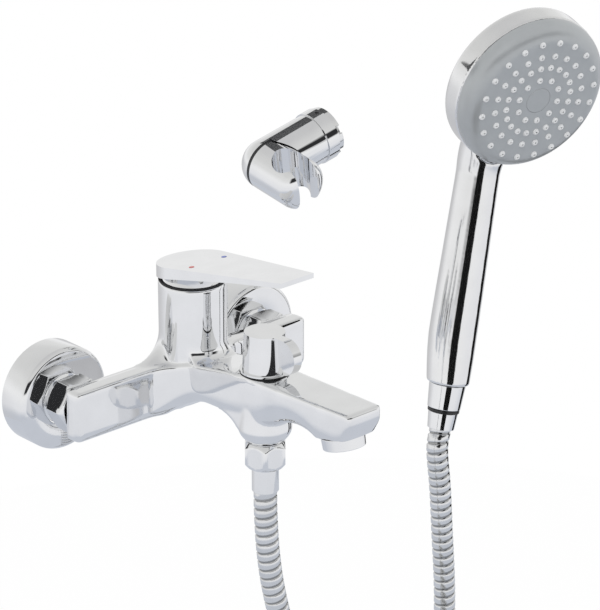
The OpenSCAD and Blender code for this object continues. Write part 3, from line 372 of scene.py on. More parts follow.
def blended(obj, grain, passes=6):
    """Joins the overlapping forms of a casting and softens where they meet."""
    blend = obj.modifiers.new("Blend", "REMESH")
    blend.mode = "VOXEL"
    blend.voxel_size = grain
    blend.use_smooth_shade = True
    soften = obj.modifiers.new("Soften", "SMOOTH")
    soften.factor = 0.5
    soften.iterations = passes


# Finishes


def graph(owner):
    """The emptied node tree of a material or world: its nodes and links."""
    owner.use_nodes = True
    nodes = owner.node_tree.nodes
    nodes.clear()
    return nodes, owner.node_tree.links


def metal_or_plastic(name, colour, metallic, rough, spread, patch, shade, bump, grit, coat=0.0, groove=0.0):
    """A finish whose gloss, shade and surface vary a little over the piece; groove paints shade into the hose's
    grooves, darkening their colour towards black.
    """
    material = bpy.data.materials.new(name)
    nodes, links = graph(material)
    out = nodes.new("ShaderNodeOutputMaterial")
    shader = nodes.new("ShaderNodeBsdfPrincipled")
    shader.inputs["Metallic"].default_value = metallic
    shader.inputs["Coat Weight"].default_value = coat
    place = nodes.new("ShaderNodeTexCoord")
    clouds = nodes.new("ShaderNodeTexNoise")
    clouds.inputs["Scale"].default_value = patch
    clouds.inputs["Detail"].default_value = 5.0
    gloss = nodes.new("ShaderNodeMapRange")
    gloss.inputs["From Min"].default_value = 0.3
    gloss.inputs["From Max"].default_value = 0.7
    gloss.inputs["To Min"].default_value = rough
    gloss.inputs["To Max"].default_value = rough + spread
    tint = nodes.new("ShaderNodeValToRGB")
    tint.color_ramp.elements[0].position = 0.32
    tint.color_ramp.elements[0].color = (*[c * (1 - shade) for c in colour], 1)
    tint.color_ramp.elements[1].position = 0.68
    tint.color_ramp.elements[1].color = (*colour, 1)
    grains = nodes.new("ShaderNodeTexNoise")
    grains.inputs["Scale"].default_value = grit
    grains.inputs["Detail"].default_value = 2.0
    relief = nodes.new("ShaderNodeBump")
    relief.inputs["Strength"].default_value = bump
    relief.inputs["Distance"].default_value = 0.0002
    links.new(place.outputs["Object"], clouds.inputs["Vector"])
    links.new(place.outputs["Object"], grains.inputs["Vector"])
    links.new(clouds.outputs["Fac"], gloss.inputs["Value"])
    links.new(clouds.outputs["Fac"], tint.inputs["Fac"])
    links.new(gloss.outputs["Result"], shader.inputs["Roughness"])
    # Painted shade: the colour darkens towards near black where the groove attribute marks the bottom of the hose's
    # grooves.
    if groove:
        depth = nodes.new("ShaderNodeAttribute")
        depth.attribute_name = "groove"
        amount = nodes.new("ShaderNodeMath")
        amount.operation = "MULTIPLY"
        amount.use_clamp = True
        amount.inputs[1].default_value = groove
        groove_shade_mix = nodes.new("ShaderNodeMix")
        groove_shade_mix.data_type = "RGBA"
        groove_shade_mix.inputs["B"].default_value = (0.03, 0.03, 0.032, 1)
        links.new(depth.outputs["Fac"], amount.inputs[0])
        links.new(amount.outputs["Value"], groove_shade_mix.inputs["Factor"])
        links.new(tint.outputs["Color"], groove_shade_mix.inputs["A"])
        links.new(groove_shade_mix.outputs["Result"], shader.inputs["Base Color"])
    else:
        links.new(tint.outputs["Color"], shader.inputs["Base Color"])
    links.new(grains.outputs["Fac"], relief.inputs["Height"])
    links.new(relief.outputs["Normal"], shader.inputs["Normal"])
    links.new(shader.outputs["BSDF"], out.inputs["Surface"])
    return material


FINISHES = {}


def finish_of(name):
    """The material of a finish, made once."""
    if name not in FINISHES:
        hues = bpy.context.scene.mixer.finish
        metal = dict(metallic=1.0, rough=0.035, spread=0.03, patch=70, shade=0.04, bump=0.012, grit=500)
        plastic = dict(metallic=0.0, rough=0.32, spread=0.12, patch=120, shade=0.08, bump=0.05, grit=3000)
        recipes = {
            "chrome": (hues.chrome, metal),
            "plated_plastic": (hues.plated, dict(metal, rough=0.085, spread=0.02)),
            # The hose finish paints shade into its grooves, weighted by the groove attribute.
            "hose_metal": (hues.hose, dict(metal, rough=0.12, spread=0.06, shade=0.1, groove=0.55)),
            "brass": (hues.brass, dict(metal, rough=0.22, spread=0.12, shade=0.15, bump=0.05, grit=1500)),
            "steel": (hues.steel, dict(metal, rough=0.2, spread=0.1, shade=0.1, bump=0.04, grit=1800)),
            "white_plastic": (hues.white, plastic),
            "ceramic": (hues.white, dict(plastic, rough=0.12, spread=0.05)),
            "black_rubber": (hues.black, dict(plastic, rough=0.55, shade=0.3, bump=0.15)),
            "black_plastic": (hues.black, dict(plastic, rough=0.3, shade=0.3)),
            "grey_face": (hues.face, dict(plastic, metallic=0.35, rough=0.28, spread=0.08, shade=0.05, bump=0.04,
                                          grit=5000)),
            "nozzle_silicone": (hues.nozzle, dict(plastic, rough=0.42, shade=0.06)),
            "red_mark": (hues.hot, dict(plastic, rough=0.2, coat=0.4)),
            "blue_mark": (hues.cold, dict(plastic, rough=0.2, coat=0.4)),
        }
        colour, recipe = recipes[name]
        FINISHES[name] = metal_or_plastic(name + "_finish", colour, **recipe)
    return FINISHES[name]


# Stage


SKY_TONES = (
    (0.0, (0.58, 0.61, 0.67)),
    (0.22, (0.60, 0.63, 0.69)),
    (0.33, (0.87, 0.875, 0.895)),
    (0.5, (0.93, 0.93, 0.93)),
    (0.66, (0.80, 0.80, 0.79)),
    (0.8, (0.72, 0.72, 0.71)),
    (1.0, (0.62, 0.62, 0.62)),
)
BACK_AZIMUTH, BACK_TONE = 60, (0.60, 0.60, 0.61)
BAND_AZIMUTH, BAND_LOW, BAND_HIGH, BAND_FADE, BAND_TONE = -100, 0.06, 0.47, 14.0, (0.03, 0.03, 0.032)
FLOOR_MIDDLE = (0.09, -0.09)
FLOOR_TONE = (0.60, 0.63, 0.69)
FLOOR_GLOW = 0.98
BLACK_CARD, GREY_CARD = 0.012, 0.16
LAMP_AIM = Vector((0.05, -0.1, 0.0))
LAMPS = (("key_lamp", (-1.2, -1.0, 1.6), 1.2, 1.0), ("fill_lamp", (1.5, -0.9, 1.1), 1.4, 0.5))


def studio_world(world):
    """White to the camera; to the metal a pale studio with a dark band in front at the camera's height."""
    nodes, links = graph(world)
    out = nodes.new("ShaderNodeOutputWorld")
    place = nodes.new("ShaderNodeTexCoord")
    split = nodes.new("ShaderNodeSeparateXYZ")
    links.new(place.outputs["Generated"], split.inputs["Vector"])

    def sums(operation, a, b=None, clamp=False):
        node = nodes.new("ShaderNodeMath")
        node.operation = operation
        node.use_clamp = clamp
        for socket, value in zip(node.inputs, (a, b)):
            if hasattr(value, "links"):
                links.new(value, socket)
            elif value is not None:
                socket.default_value = value
        return node.outputs["Value"]

    def rise(value, start, slope):
        return sums("MULTIPLY", sums("SUBTRACT", value, start), slope, clamp=True)

    def facing(degrees):
        way = sums("MULTIPLY", split.outputs["X"], math.cos(math.radians(degrees)))
        return sums("ADD", way, sums("MULTIPLY", split.outputs["Y"], math.sin(math.radians(degrees))))

    def blend(factor, base, colour):
        node = nodes.new("ShaderNodeMix")
        node.data_type = "RGBA"
        node.inputs["B"].default_value = (*colour, 1)
        links.new(factor, node.inputs["Factor"])
        links.new(base, node.inputs["A"])
        return node.outputs["Result"]

    height = split.outputs["Z"]
    sky = nodes.new("ShaderNodeValToRGB")
    ramp = sky.color_ramp
    ramp.interpolation = "EASE"
    for position, colour in SKY_TONES:
        stop = ramp.elements.new(position) if 0 < position < 1 else ramp.elements[0 if position == 0 else -1]
        stop.position = position
        stop.color = (*colour, 1)
    links.new(sums("ADD", sums("MULTIPLY", height, 0.5), 0.5), sky.inputs["Fac"])
    behind = rise(facing(BACK_AZIMUTH), 0.3, 1.6)
    below = sums("MULTIPLY", height, -6.0, clamp=True)
    shaded = blend(sums("MULTIPLY", behind, below), sky.outputs["Color"], BACK_TONE)
    ahead = rise(facing(BAND_AZIMUTH), 0.55, 6.0)
    over_edge = rise(height, BAND_LOW, BAND_FADE)
    under_edge = rise(BAND_HIGH, height, BAND_FADE)
    shaded = blend(sums("MULTIPLY", ahead, sums("MULTIPLY", over_edge, under_edge)), shaded, BAND_TONE)
    room = nodes.new("ShaderNodeBackground")
    links.new(shaded, room.inputs["Color"])
    backdrop = nodes.new("ShaderNodeBackground")
    backdrop.inputs["Color"].default_value = (1, 1, 1, 1)
    ray = nodes.new("ShaderNodeLightPath")
    mix = nodes.new("ShaderNodeMixShader")
    links.new(ray.outputs["Is Camera Ray"], mix.inputs["Fac"])
    links.new(room.outputs["Background"], mix.inputs[1])
    links.new(backdrop.outputs["Background"], mix.inputs[2])
    links.new(mix.outputs["Shader"], out.inputs["Surface"])


def matt_finish(name, scale, low, high):
    """A matt grey that wanders between two tones: the material and its diffuse shader."""
    material = bpy.data.materials.new(name)
    nodes, links = graph(material)
    matt = nodes.new("ShaderNodeBsdfDiffuse")
    place = nodes.new("ShaderNodeTexCoord")
    clouds = nodes.new("ShaderNodeTexNoise")
    clouds.inputs["Scale"].default_value = scale
    tint = nodes.new("ShaderNodeValToRGB")
    for stop, tone in zip(tint.color_ramp.elements, (low, high)):
        stop.color = (tone, tone, tone, 1)
    links.new(place.outputs["Object"], clouds.inputs["Vector"])
    links.new(clouds.outputs["Fac"], tint.inputs["Fac"])
    links.new(tint.outputs["Color"], matt.inputs["Color"])
    return material, matt


def floor_finish():
    """Pale floor that is white to the camera, bluish grey to the metal, and keeps a soft shadow."""
    material, matt = matt_finish("pale_floor", 3.0, 0.86, 0.9)
    nodes, links = material.node_tree.nodes, material.node_tree.links
    out = nodes.new("ShaderNodeOutputMaterial")
    glow = nodes.new("ShaderNodeEmission")
    ray = nodes.new("ShaderNodeLightPath")
    tone = nodes.new("ShaderNodeMix")
    tone.data_type = "RGBA"
    tone.inputs["A"].default_value = (*FLOOR_TONE, 1)
    tone.inputs["B"].default_value = (1, 1, 1, 1)
    seen = nodes.new("ShaderNodeMath")
    seen.operation = "MAXIMUM"
    amount = nodes.new("ShaderNodeMath")
    amount.operation = "MULTIPLY"
    amount.inputs[1].default_value = FLOOR_GLOW
    mix = nodes.new("ShaderNodeMixShader")
    links.new(ray.outputs["Is Camera Ray"], tone.inputs["Factor"])
    links.new(tone.outputs["Result"], glow.inputs["Color"])
    links.new(ray.outputs["Is Camera Ray"], seen.inputs[0])
    links.new(ray.outputs["Is Glossy Ray"], seen.inputs[1])
    links.new(seen.outputs["Value"], amount.inputs[0])
    links.new(amount.outputs["Value"], mix.inputs["Fac"])
    links.new(matt.outputs["BSDF"], mix.inputs[1])
    links.new(glow.outputs["Emission"], mix.inputs[2])
    links.new(mix.outputs["Shader"], out.inputs["Surface"])
    return material


def toward(azimuth, elevation=0.0):
    """Unit vector from two angles in degrees."""
    a, e = math.radians(azimuth), math.radians(elevation)
    return Vector((math.cos(a) * math.cos(e), math.sin(a) * math.cos(e), math.sin(e)))


def card_finish(name, tone):
    """Matt card with a little variation."""
    material, matt = matt_finish(name, 40.0, tone * 0.8, tone)
    out = material.node_tree.nodes.new("ShaderNodeOutputMaterial")
    material.node_tree.links.new(matt.outputs["BSDF"], out.inputs["Surface"])
    return material


def card(name, middle, upward, facing, width, height, finish):
    """A card that only the metal's reflections show."""
    axes = Matrix((upward.cross(facing).normalized(), upward.normalized(), facing.normalized())).transposed()
    place = Matrix.Translation(middle) @ axes.to_4x4()
    bm = bmesh.new()
    bmesh.ops.create_grid(bm, x_segments=1, y_segments=1, size=0.5)
    bmesh.ops.scale(bm, vec=(width, height, 1), verts=bm.verts[:])
    bm.transform(Matrix.Scale(MM, 4) @ place)
    screen = in_scene(bm, name, finish)
    screen.visible_camera = screen.visible_diffuse = screen.visible_shadow = screen.visible_transmission = False


class MIXER_OT_stage(Operator):
    """Sets up the camera, the floor, the cards, the lamps and the studio"""

    bl_idname = "mixer.stage"
    bl_label = "Stage"

    def execute(self, context):
        scene = context.scene
        size = scene.mixer.stage
        camera = bpy.data.objects.new("camera", bpy.data.cameras.new("camera"))
        camera.data.sensor_fit = "HORIZONTAL"
        camera.data.sensor_width = 36.0
        camera.data.lens = size.camera_lens
        camera.data.clip_start = 0.05
        camera.location = size.camera_place
        camera.rotation_euler = (math.pi / 2 - size.camera_elevation, 0, size.camera_azimuth)
        scene.collection.objects.link(camera)
        scene.camera = camera

        bm = bmesh.new()
        bmesh.ops.create_circle(bm, cap_ends=True, radius=size.floor_radius, segments=ROUND_STEPS)
        bmesh.ops.translate(bm, vec=(*FLOOR_MIDDLE, CAD_BOX[0][2] - size.floor_drop), verts=bm.verts[:])
        floor = in_scene(bm, "floor", floor_finish())

        black, grey = card_finish("black_card", BLACK_CARD), card_finish("grey_card", GREY_CARD)
        handle = HANDSET.translation
        for name, finish, middle, upward, way, off, width, low, high in (
            ("front_card", black, handle, HANDSET_UP, toward(-125), 90, 52, -66, 150),
            ("side_card", black, handle, HANDSET_UP, toward(-12), 90, 46, -60, 165),
            ("bracket_card", grey, BRACKET.translation, toward(-90, 30), toward(90, 60), 80, 70, -26, 30),
        ):
            way = (way - upward * way.dot(upward)).normalized()
            card(name, middle + upward * (low + high) / 2 + way * off, upward, -way, width, high - low, finish)

        for name, place, span, share in LAMPS:
            lamp = bpy.data.objects.new(name, bpy.data.lights.new(name, "AREA"))
            lamp.data.size = span
            lamp.data.energy = size.key_power * share
            lamp.location = place
            lamp.rotation_euler = (LAMP_AIM - Vector(place)).to_track_quat("-Z", "Y").to_euler()
            lamp.visible_glossy = False
            scene.collection.objects.link(lamp)

        scene.world = bpy.data.worlds.new("studio")
        studio_world(scene.world)
        scene.view_settings.view_transform = "Standard"
        return {"FINISHED"}


# Hose


ROUTE_FROM_MIXER = [(0, -112, -50.5), (0.2, -112, -66), (2, -112, -92), (6.4, -112.2, -120), (15, -113.5, -155),
                    (29, -115.5, -198), (40, -116.5, -240), (42, -116.5, -270)]
STRAIGHT_END = 14
ROUTE_TO_HANDSET = [(184, -79, -270), (185.5, -79, -240), (186, -78.5, -195), (183.6, -77.6, -152), (181.6, -77, -120),
                    HOSE_END - STRAIGHT_END * HANDSET_UP, HOSE_END]
COIL_RADIUS = 71.0
COIL_TURNS = 2.5
COIL_SHIFT = 37.5
COIL_STEPS = 48
CURVE_STEPS = 10
STRIP_EDGE = 0.25


def through(points):
    """A smooth curve through the points."""
    p = [Vector(q) for q in points]
    p = [2 * p[0] - p[1]] + p + [2 * p[-1] - p[-2]]
    curve = []
    for a, b, c, d in zip(p, p[1:], p[2:], p[3:]):
        square, cube = 2 * a - 5 * b + 4 * c - d, 3 * b - a - 3 * c + d
        for i in range(CURVE_STEPS):
            t = i / CURVE_STEPS
            curve.append(0.5 * (2 * b + (c - a) * t + square * t**2 + cube * t**3))
    return curve + [p[-2]]


def hose_route():
    """The hose's middle line: down from the mixer, round the coil, up to the handset."""
    start = Vector(ROUTE_FROM_MIXER[-1])
    coil = []
    count = int(COIL_TURNS * COIL_STEPS)
    for i in range(1, count):
        u = i / count
        a = math.tau * COIL_TURNS * u
        coil.append(start + Vector((COIL_RADIUS * (1 - math.cos(a)), COIL_SHIFT * u, -COIL_RADIUS * math.sin(a))))
    return through(ROUTE_FROM_MIXER) + coil + through(ROUTE_TO_HANDSET)


def along(route):
    """Length of the route, and a function from a distance to a place and two side vectors there."""
    marks = [0.0]
    for a, b in zip(route, route[1:]):
        marks.append(marks[-1] + (b - a).length)
    ways = [(route[min(i + 1, len(route) - 1)] - route[max(i - 1, 0)]).normalized() for i in range(len(route))]
    side = ways[0].orthogonal().normalized()
    sides = []
    for way in ways:
        side = (side - way * side.dot(way)).normalized()
        sides.append(side)
    i = 0

    def at(distance):
        nonlocal i
        distance = min(max(distance, 0.0), marks[-1])
        if marks[i] > distance:
            i = 0
        while i < len(marks) - 2 and marks[i + 1] < distance:
            i += 1
        t = (distance - marks[i]) / (marks[i + 1] - marks[i])
        way = ways[i].lerp(ways[i + 1], t).normalized()
        across = sides[i].lerp(sides[i + 1], t)
        across = (across - way * across.dot(way)).normalized()
        return route[i].lerp(route[i + 1], t), across, way.cross(across)

    return marks[-1], at


class MIXER_OT_hose(Operator):
    """Winds the ribbed hose along its route, with its coil and tie"""

    bl_idname = "mixer.hose"
    bl_label = "Hose"

    def execute(self, context):
        size = context.scene.mixer.hose
        r, groove = size.diameter / MM / 2, size.groove / MM
        route = hose_route()
        length, at = along(route)
        turns = round(length / (size.pitch / MM))
        pitch = length / turns
        bm = bmesh.new()
        low, edge = r - groove, r - STRIP_EDGE
        strip = ((0.0, low), (0.07, low), (0.12, edge), (0.2, r), (0.8, r), (0.88, edge), (0.93, low), (1.0, low))
        # The groove attribute runs from 0 on the strip's top to 1 at the groove's bottom and weights the painted shade
        # of the hose finish.
        depth = bm.verts.layers.float.new("groove")
        for vert in outline(bm, [(pitch * x, 0, y) for x, y in strip], closed=False)[0]:
            vert[depth] = (r - vert.co.z) / groove
        bmesh.ops.spin(bm, geom=bm.verts[:] + bm.edges[:], cent=(0, 0, 0), axis=(1, 0, 0),
                       dvec=(pitch / size.sides, 0, 0), angle=math.tau, steps=size.sides, use_merge=False)
        bmesh.ops.translate(bm, vec=(-pitch, 0, 0), verts=bm.verts[:])
        made = 1
        while made < turns + 2:
            copy = bmesh.ops.duplicate(bm, geom=everything(bm))["geom"]
            copied = [v for v in copy if isinstance(v, bmesh.types.BMVert)]
            bmesh.ops.translate(bm, vec=(made * pitch, 0, 0), verts=copied)
            made *= 2
        bmesh.ops.remove_doubles(bm, verts=bm.verts[:], dist=STRIP_GAP)
        for place, side in ((0.0, -1), (length, 1)):
            bmesh.ops.bisect_plane(bm, geom=everything(bm), dist=CUT_GAP, plane_co=(place, 0, 0),
                                   plane_no=(side, 0, 0), clear_outer=True)
        bmesh.ops.holes_fill(bm, edges=[e for e in bm.edges if e.is_boundary], sides=0)
        for vert in sorted(bm.verts, key=lambda v: v.co.x):
            middle, across, over = at(vert.co.x)
            vert.co = middle + across * vert.co.y + over * vert.co.z
        bmesh.ops.recalc_face_normals(bm, faces=bm.faces[:])
        stretches = ("hose_from_mixer", "hose_coil", "hose_to_handset")
        hose = piece(bm, "hose", "hose_metal", "mixer", stretches, crease=HOSE_ANGLE)
        tie = dressed("hose_tie", "tie", "black_plastic", "mixer", 0.3)
        return {"FINISHED"}


# Mixer body


def between(value, knots):
    """Straight-line reading of (place, height) knots."""
    if value >= knots[0][0]:
        return knots[0][1]
    for (a, low), (b, high) in zip(knots, knots[1:]):
        if value >= b:
            return low + (high - low) * (value - a) / (b - a)
    return knots[-1][1]


# Sizes in millimetres; the lines are (y, value) knots from the wall outward
ARM_BACK, ARM_FRONT = -37.0, -50.0
ARM_TOP, ARM_FOOT = 16.0, -15.8
SPOUT_TOP_LINE = ((-50, 16), (-56, 16.8), (-64, 18.4), (-99, 24.3), (-112, 25), (-196, 27))
SPOUT_FOOT_LINE = ((-77, -4.0), (-120, -4.0), (-129, -1.5), (-136, 1.5), (-142, 3.1), (-148, 4.0), (-154, 4.4),
                   (-160, 4.1), (-164, 3.65), (-168, 2.0), (-173, 1.4), (-184, 1.4), (-190, 5.0), (-193, 10.8),
                   (-195, 15.0), (-196, 18.6))
SPOUT_FULLNESS = ((-77, 6.0), (-99, 6.0), (-120, 4.0), (-129, 2.8), (-136, 2.4), (-142, 2.2), (-148, 2.2),
                  (-154, 2.4), (-160, 2.8), (-164, 3.4), (-168, 3.8), (-173, 4.0), (-190, 4.0), (-193, 3.2),
                  (-196, 3.0))
SPOUT_ROWS = (-71, -74, -77, -82, -88, -95, -103, -112, -120, -125, -129, -133, -136, -139, -142, -145, -148, -151,
              -154, -157, -160, -164, -168, -173, -178, -184, -187, -190, -191.5, -193)
SPOUT_SIDE, SPOUT_KEEL = 7.3, 1.0
SPOUT_WIDTH_LINE = ((-43.5, 16.5), (-112, 15.0), (-196, 13.0))
ARCH_MIDDLE, ARCH_TOP, ARCH_RADIUS = -77.0, -4.0, 36.8
ARM_ROWS = (-72, -56, -44)
ARM_ROUND, TIP_ROUND = 3, 2
ARM_FOOT_ROUND, CROTCH_SWELL = (4.0, 4.0), (1.0, 4.0)
CROTCH_RADIUS = 21.0
CROTCH_STEPS = 20
RIM_ROUND = [(2, 0.8)]
FLARE_LINE = ((-37, 19.0), (-39, 18.8), (-41, 18.2), (-43, 17.0), (-45, 14.8), (-46.5, 12.2), (-48, 8.8), (-49, 6.0),
              (-50, 3.2))
BURIED = 4
HOUSING_BORE, HOUSING_FOOT, HOUSING_TOP = 17.8, 10, 64.4
FILLET, FILLET_FOOT, FILLET_INSIDE, FILLET_HALF = 8.0, 19, 18.5, 15.4
COLLAR_RADIUS, COLLAR_FOOT, COLLAR_TOP = 15, 8, 25.4
BOSS_PROFILE = [(0, -18), (11, -18), (11.9, -17), (13.8, -15), (15.1, -13), (15.8, -11), (15.9, -9), (15.4, -3),
                (14.9, 4), (14.2, 9), (0, 9)]
SKIRT_PROFILE = [(0, -10), (16.6, -9.8), (18.1, -7.3), (20, -5.5), (22.5, -4.1), (25.5, -3.1), (29, -2.5), (29, 2),
                 (0, 2)]
SKIRT_FRONT, SKIRT_HALF = -0.5, 14.6
SPIGOT_RADIUS, SPIGOT_BACK, SPIGOT_FRONT = 9.6, 30, 40


def body_foot(y):
    """Height of the body's underside."""
    if y >= ARM_FRONT:
        return ARM_FOOT
    if y >= ARCH_MIDDLE:
        return ARCH_TOP - ARCH_RADIUS + math.sqrt(ARCH_RADIUS**2 - (y - ARCH_MIDDLE) ** 2)
    return between(y, SPOUT_FOOT_LINE)


def body_loop(inner, outer, foot, edge, back_edge, inset=0.0, fullness=2.0):
    """One cross-section of half the body, from the inner line out to the wall and back underneath."""
    way = outer - inner
    span = way.length - inset
    way.normalize()

    def top(t, drop):
        p = inner + way * t
        return (p.x, p.y, between(p.y, SPOUT_TOP_LINE) - inset - drop)

    def under(t, rise):
        p = inner + way * t
        return (p.x, p.y, body_foot(p.y) + inset + rise)

    angles = quarter(5)
    start = inset if back_edge else 0.0
    points = [top(start + back_edge * (1 - math.sin(a)), back_edge * (1 - math.cos(a))) for a in angles]
    points += [top(start + (span - start) * f, 0) for f in (0.35, 0.65)]
    points += [top(span - edge * (1 - math.sin(a)), edge * (1 - math.cos(a))) for a in angles]
    wall_high = top(span, edge)
    lean = 2 / fullness
    bend = [under(span - foot[0] * (1 - math.cos(a) ** lean), foot[1] * (1 - math.sin(a) ** lean)) for a in quarter(12)]
    points += [tuple(h + (l - h) * f for h, l in zip(wall_high, bend[0])) for f in (0.33, 0.66)]
    points += bend
    points += [under(start + (span - foot[0] - start) * f, 0) for f in (0.66, 0.33)]
    points += [under(start + back_edge * (1 - math.sin(a)), back_edge * (1 - math.cos(a))) for a in angles]
    low, high = points[-1], points[0]
    points += [tuple(l + (h - l) * f for l, h in zip(low, high)) for f in (0.33, 0.66)]
    return points


def body_half(size):
    """Loft of the left arm, the crotch and the left half of the spout."""
    edge = size.edge / MM
    end, tip = -size.arm_half / MM, -size.reach / MM
    arm_rows = [(end + ARM_ROUND * (1 - math.cos(a)), ARM_ROUND * (1 - math.sin(a))) for a in quarter(4)]
    arm_rows += [(x, 0.0) for x in ARM_ROWS]
    sections = []
    for x, inset in arm_rows:
        sections.append(body_loop(Vector((x, ARM_BACK)), Vector((x, ARM_FRONT)), ARM_FOOT_ROUND, edge, edge, inset))
    width = between(ARM_FRONT - CROTCH_RADIUS, SPOUT_WIDTH_LINE)
    middle = Vector((-width - CROTCH_RADIUS, ARM_FRONT - CROTCH_RADIUS))
    for i in range(CROTCH_STEPS + 1):
        f = i / CROTCH_STEPS
        a = math.pi / 2 * (1 - f)
        outer = middle + CROTCH_RADIUS * Vector((math.cos(a), math.sin(a)))
        if f < 0.5:
            inner = Vector((middle.x * (1 - 2 * f), ARM_BACK))
        else:
            inner = Vector((0, ARM_BACK + (middle.y - ARM_BACK) * (2 * f - 1)))
        swell = f * f * (3 - 2 * f)
        foot = [start + growth * swell for start, growth in zip(ARM_FOOT_ROUND, CROTCH_SWELL)]
        sections.append(body_loop(inner, outer, foot, edge, edge if f < 0.5 else 0.0))
    rows = [(y, 0.0) for y in SPOUT_ROWS]
    rows += [(tip + TIP_ROUND * (1 - math.cos(a)), TIP_ROUND * (1 - math.sin(a))) for a in reversed(quarter(4))]
    for y, inset in rows:
        w = between(y, SPOUT_WIDTH_LINE)
        foot = (w - inset - SPOUT_KEEL, between(y, SPOUT_TOP_LINE) - SPOUT_SIDE - body_foot(y) - inset)
        sections.append(body_loop(Vector((0, y)), Vector((-w, y)), foot, edge, 0.0, inset, between(y, SPOUT_FULLNESS)))
    return lofted(sections)


def flare(radius, side):
    """Hollow sweep from the housing's side down to an arm, high at the back and low at the arm's front edge."""
    sections = []
    for y, sweep in FLARE_LINE:
        x = math.sqrt(radius**2 - (y - HOUSING_Y) ** 2)
        line = [(x - BURIED, ARM_TOP - BURIED), (x + sweep, ARM_TOP - BURIED)]
        line += hollow(x, ARM_TOP, sweep, 14) + [(x - BURIED, ARM_TOP + sweep)]
        sections.append([(side * u, y - HOUSING_Y, z) for u, z in line])
    return lofted(sections)


class MIXER_OT_body(Operator):
    """Makes the cast body: arms, spout, housing, collar and outlet boss"""

    bl_idname = "mixer.body"
    bl_label = "Mixer body"

    def execute(self, context):
        size = context.scene.mixer.body
        radius = size.housing_radius / MM
        half = body_half(size)
        inside = [f for f in half.faces if all(abs(v.co.x) < WELD_GAP / 2 for v in f.verts)]
        bmesh.ops.delete(half, geom=inside, context="FACES")
        bmesh.ops.mirror(half, geom=everything(half), axis="X", merge_dist=WELD_GAP)
        tidy(half)
        cut_off(half, AERATOR_SEAT.translation, AERATOR_SEAT.to_3x3() @ -UP)

        housing = turned([(HOUSING_BORE, HOUSING_FOOT), (radius, HOUSING_FOOT), (radius, HOUSING_TOP),
                          (HOUSING_BORE, HOUSING_TOP)], RIM_ROUND)
        flares = [flare(radius, side) for side in (-1, 1)]
        fillet = turned([(FILLET_INSIDE, ARM_TOP - BURIED), (radius + FILLET, ARM_TOP - BURIED)]
                        + hollow(radius, FILLET_FOOT, FILLET, 8) + [(FILLET_INSIDE, FILLET_FOOT + FILLET)])
        trimmed(fillet, 0, 1, FILLET_HALF)
        collar = turned([(0, COLLAR_FOOT), (COLLAR_RADIUS, COLLAR_FOOT), (COLLAR_RADIUS, COLLAR_TOP), (0, COLLAR_TOP)],
                        RIM_ROUND, closed=False)
        boss = turned(BOSS_PROFILE, closed=False)
        skirt = trimmed(turned(SKIRT_PROFILE, closed=False), SKIRT_FRONT, -1, SKIRT_HALF)
        casting = [(half, Matrix())]
        casting += [(form, LEVER_AXIS) for form in (housing, *flares, fillet)]
        casting += [(form, DIVERTER_AXIS) for form in (collar, boss, skirt)]
        for _, x in INLETS:
            spigot = turned([(0, SPIGOT_BACK), (SPIGOT_RADIUS, SPIGOT_BACK), (SPIGOT_RADIUS, SPIGOT_FRONT),
                             (0, SPIGOT_FRONT)], closed=False)
            casting.append((spigot, out_of_wall(x)))
        body = piece(joined(*casting), "mixer_casting", "chrome", "mixer", ("mixer_body",))
        blended(body, size.grain, 10)
        return {"FINISHED"}


# Pieces on the body


WALL_PLATE_PROFILE = [(30.1, 0), (31.5, 0), (31.5, 18), (29.5, 20), (15.62, 20), (15.62, 18.6), (29, 18.6),
                      (30.1, 17.5)]
WALL_PLATE_ROUNDS = [(1, 0.3), (2, 0.8), (3, 0.8), (4, 0.4)]
UNION_NUT = dict(flats=30, length=15, chamfer=2, bore=13.3)
UNION_NUT_BACK = 21.7
HOSE_NUT = dict(flats=23.6, length=16, chamfer=3.2, bore=10.58, turn_by=48)
HOSE_NUT_FOOT = -34.5


class MIXER_OT_wall_unions(Operator):
    """Makes the wall plates, union nuts and tails of both inlets"""

    bl_idname = "mixer.wall_unions"
    bl_label = "Wall unions"

    def execute(self, context):
        for side, x in INLETS:
            plate = turned(WALL_PLATE_PROFILE, WALL_PLATE_ROUNDS)
            piece(plate, "wall_plate_" + side, "chrome", "mixer", ("escutcheon_" + side,), out_of_wall(x))
            nut = piece(hex_nut(**UNION_NUT), "union_nut_" + side + "_dressed", "chrome", "mixer",
                        ("union_nut_" + side,), out_of_wall(x) @ shift(0, 0, UNION_NUT_BACK))
            eased(nut, 0.25)
            dressed("inlet_connector_" + side, "inlet_tail_" + side, "chrome", "mixer", 0.4)
        return {"FINISHED"}


class MIXER_OT_lever(Operator):
    """Makes the lever, its dome and its seal"""

    bl_idname = "mixer.lever"
    bl_label = "Lever"

    def execute(self, context):
        dressed("lever", "lever_handle", "chrome", "lever", 0.9, 4)
        dressed("trim_dome", "dome", "chrome", "mixer", 0.2, 2)
        dressed("rim_seal", "dome_seal", "black_rubber", "mixer", 0.2, 2)
        return {"FINISHED"}


class MIXER_OT_diverter(Operator):
    """Makes the diverter's knob"""

    bl_idname = "mixer.diverter"
    bl_label = "Diverter"

    def execute(self, context):
        dressed("diverter_knob", "divert_knob", "chrome", "diverter", 0.5)
        return {"FINISHED"}


class MIXER_OT_outlets(Operator):
    """Makes the aerator, the hose nut and the fittings on the hose's ends"""

    bl_idname = "mixer.outlets"
    bl_label = "Outlets and hose ends"

    def execute(self, context):
        dressed("aerator_ring", "aerator_sleeve", "chrome", "mixer", 0.4)
        nut = hex_nut(**HOSE_NUT)
        piece(nut, "hose_union", "chrome", "mixer", ("hose_nut",), DIVERTER_AXIS @ shift(0, 0, HOSE_NUT_FOOT))
        dressed("hose_ferrule", "ferrule", "chrome", "mixer", 0.3)
        dressed("cone_sleeve", "sleeve", "chrome", "mixer", 0.3)
        dressed("swivel_ring", "swivel_collar", "black_plastic", "mixer", 0.3)
        dressed("cone_nut", "conical_nut", "chrome", "handset", 0.4)
        return {"FINISHED"}


# Hand shower


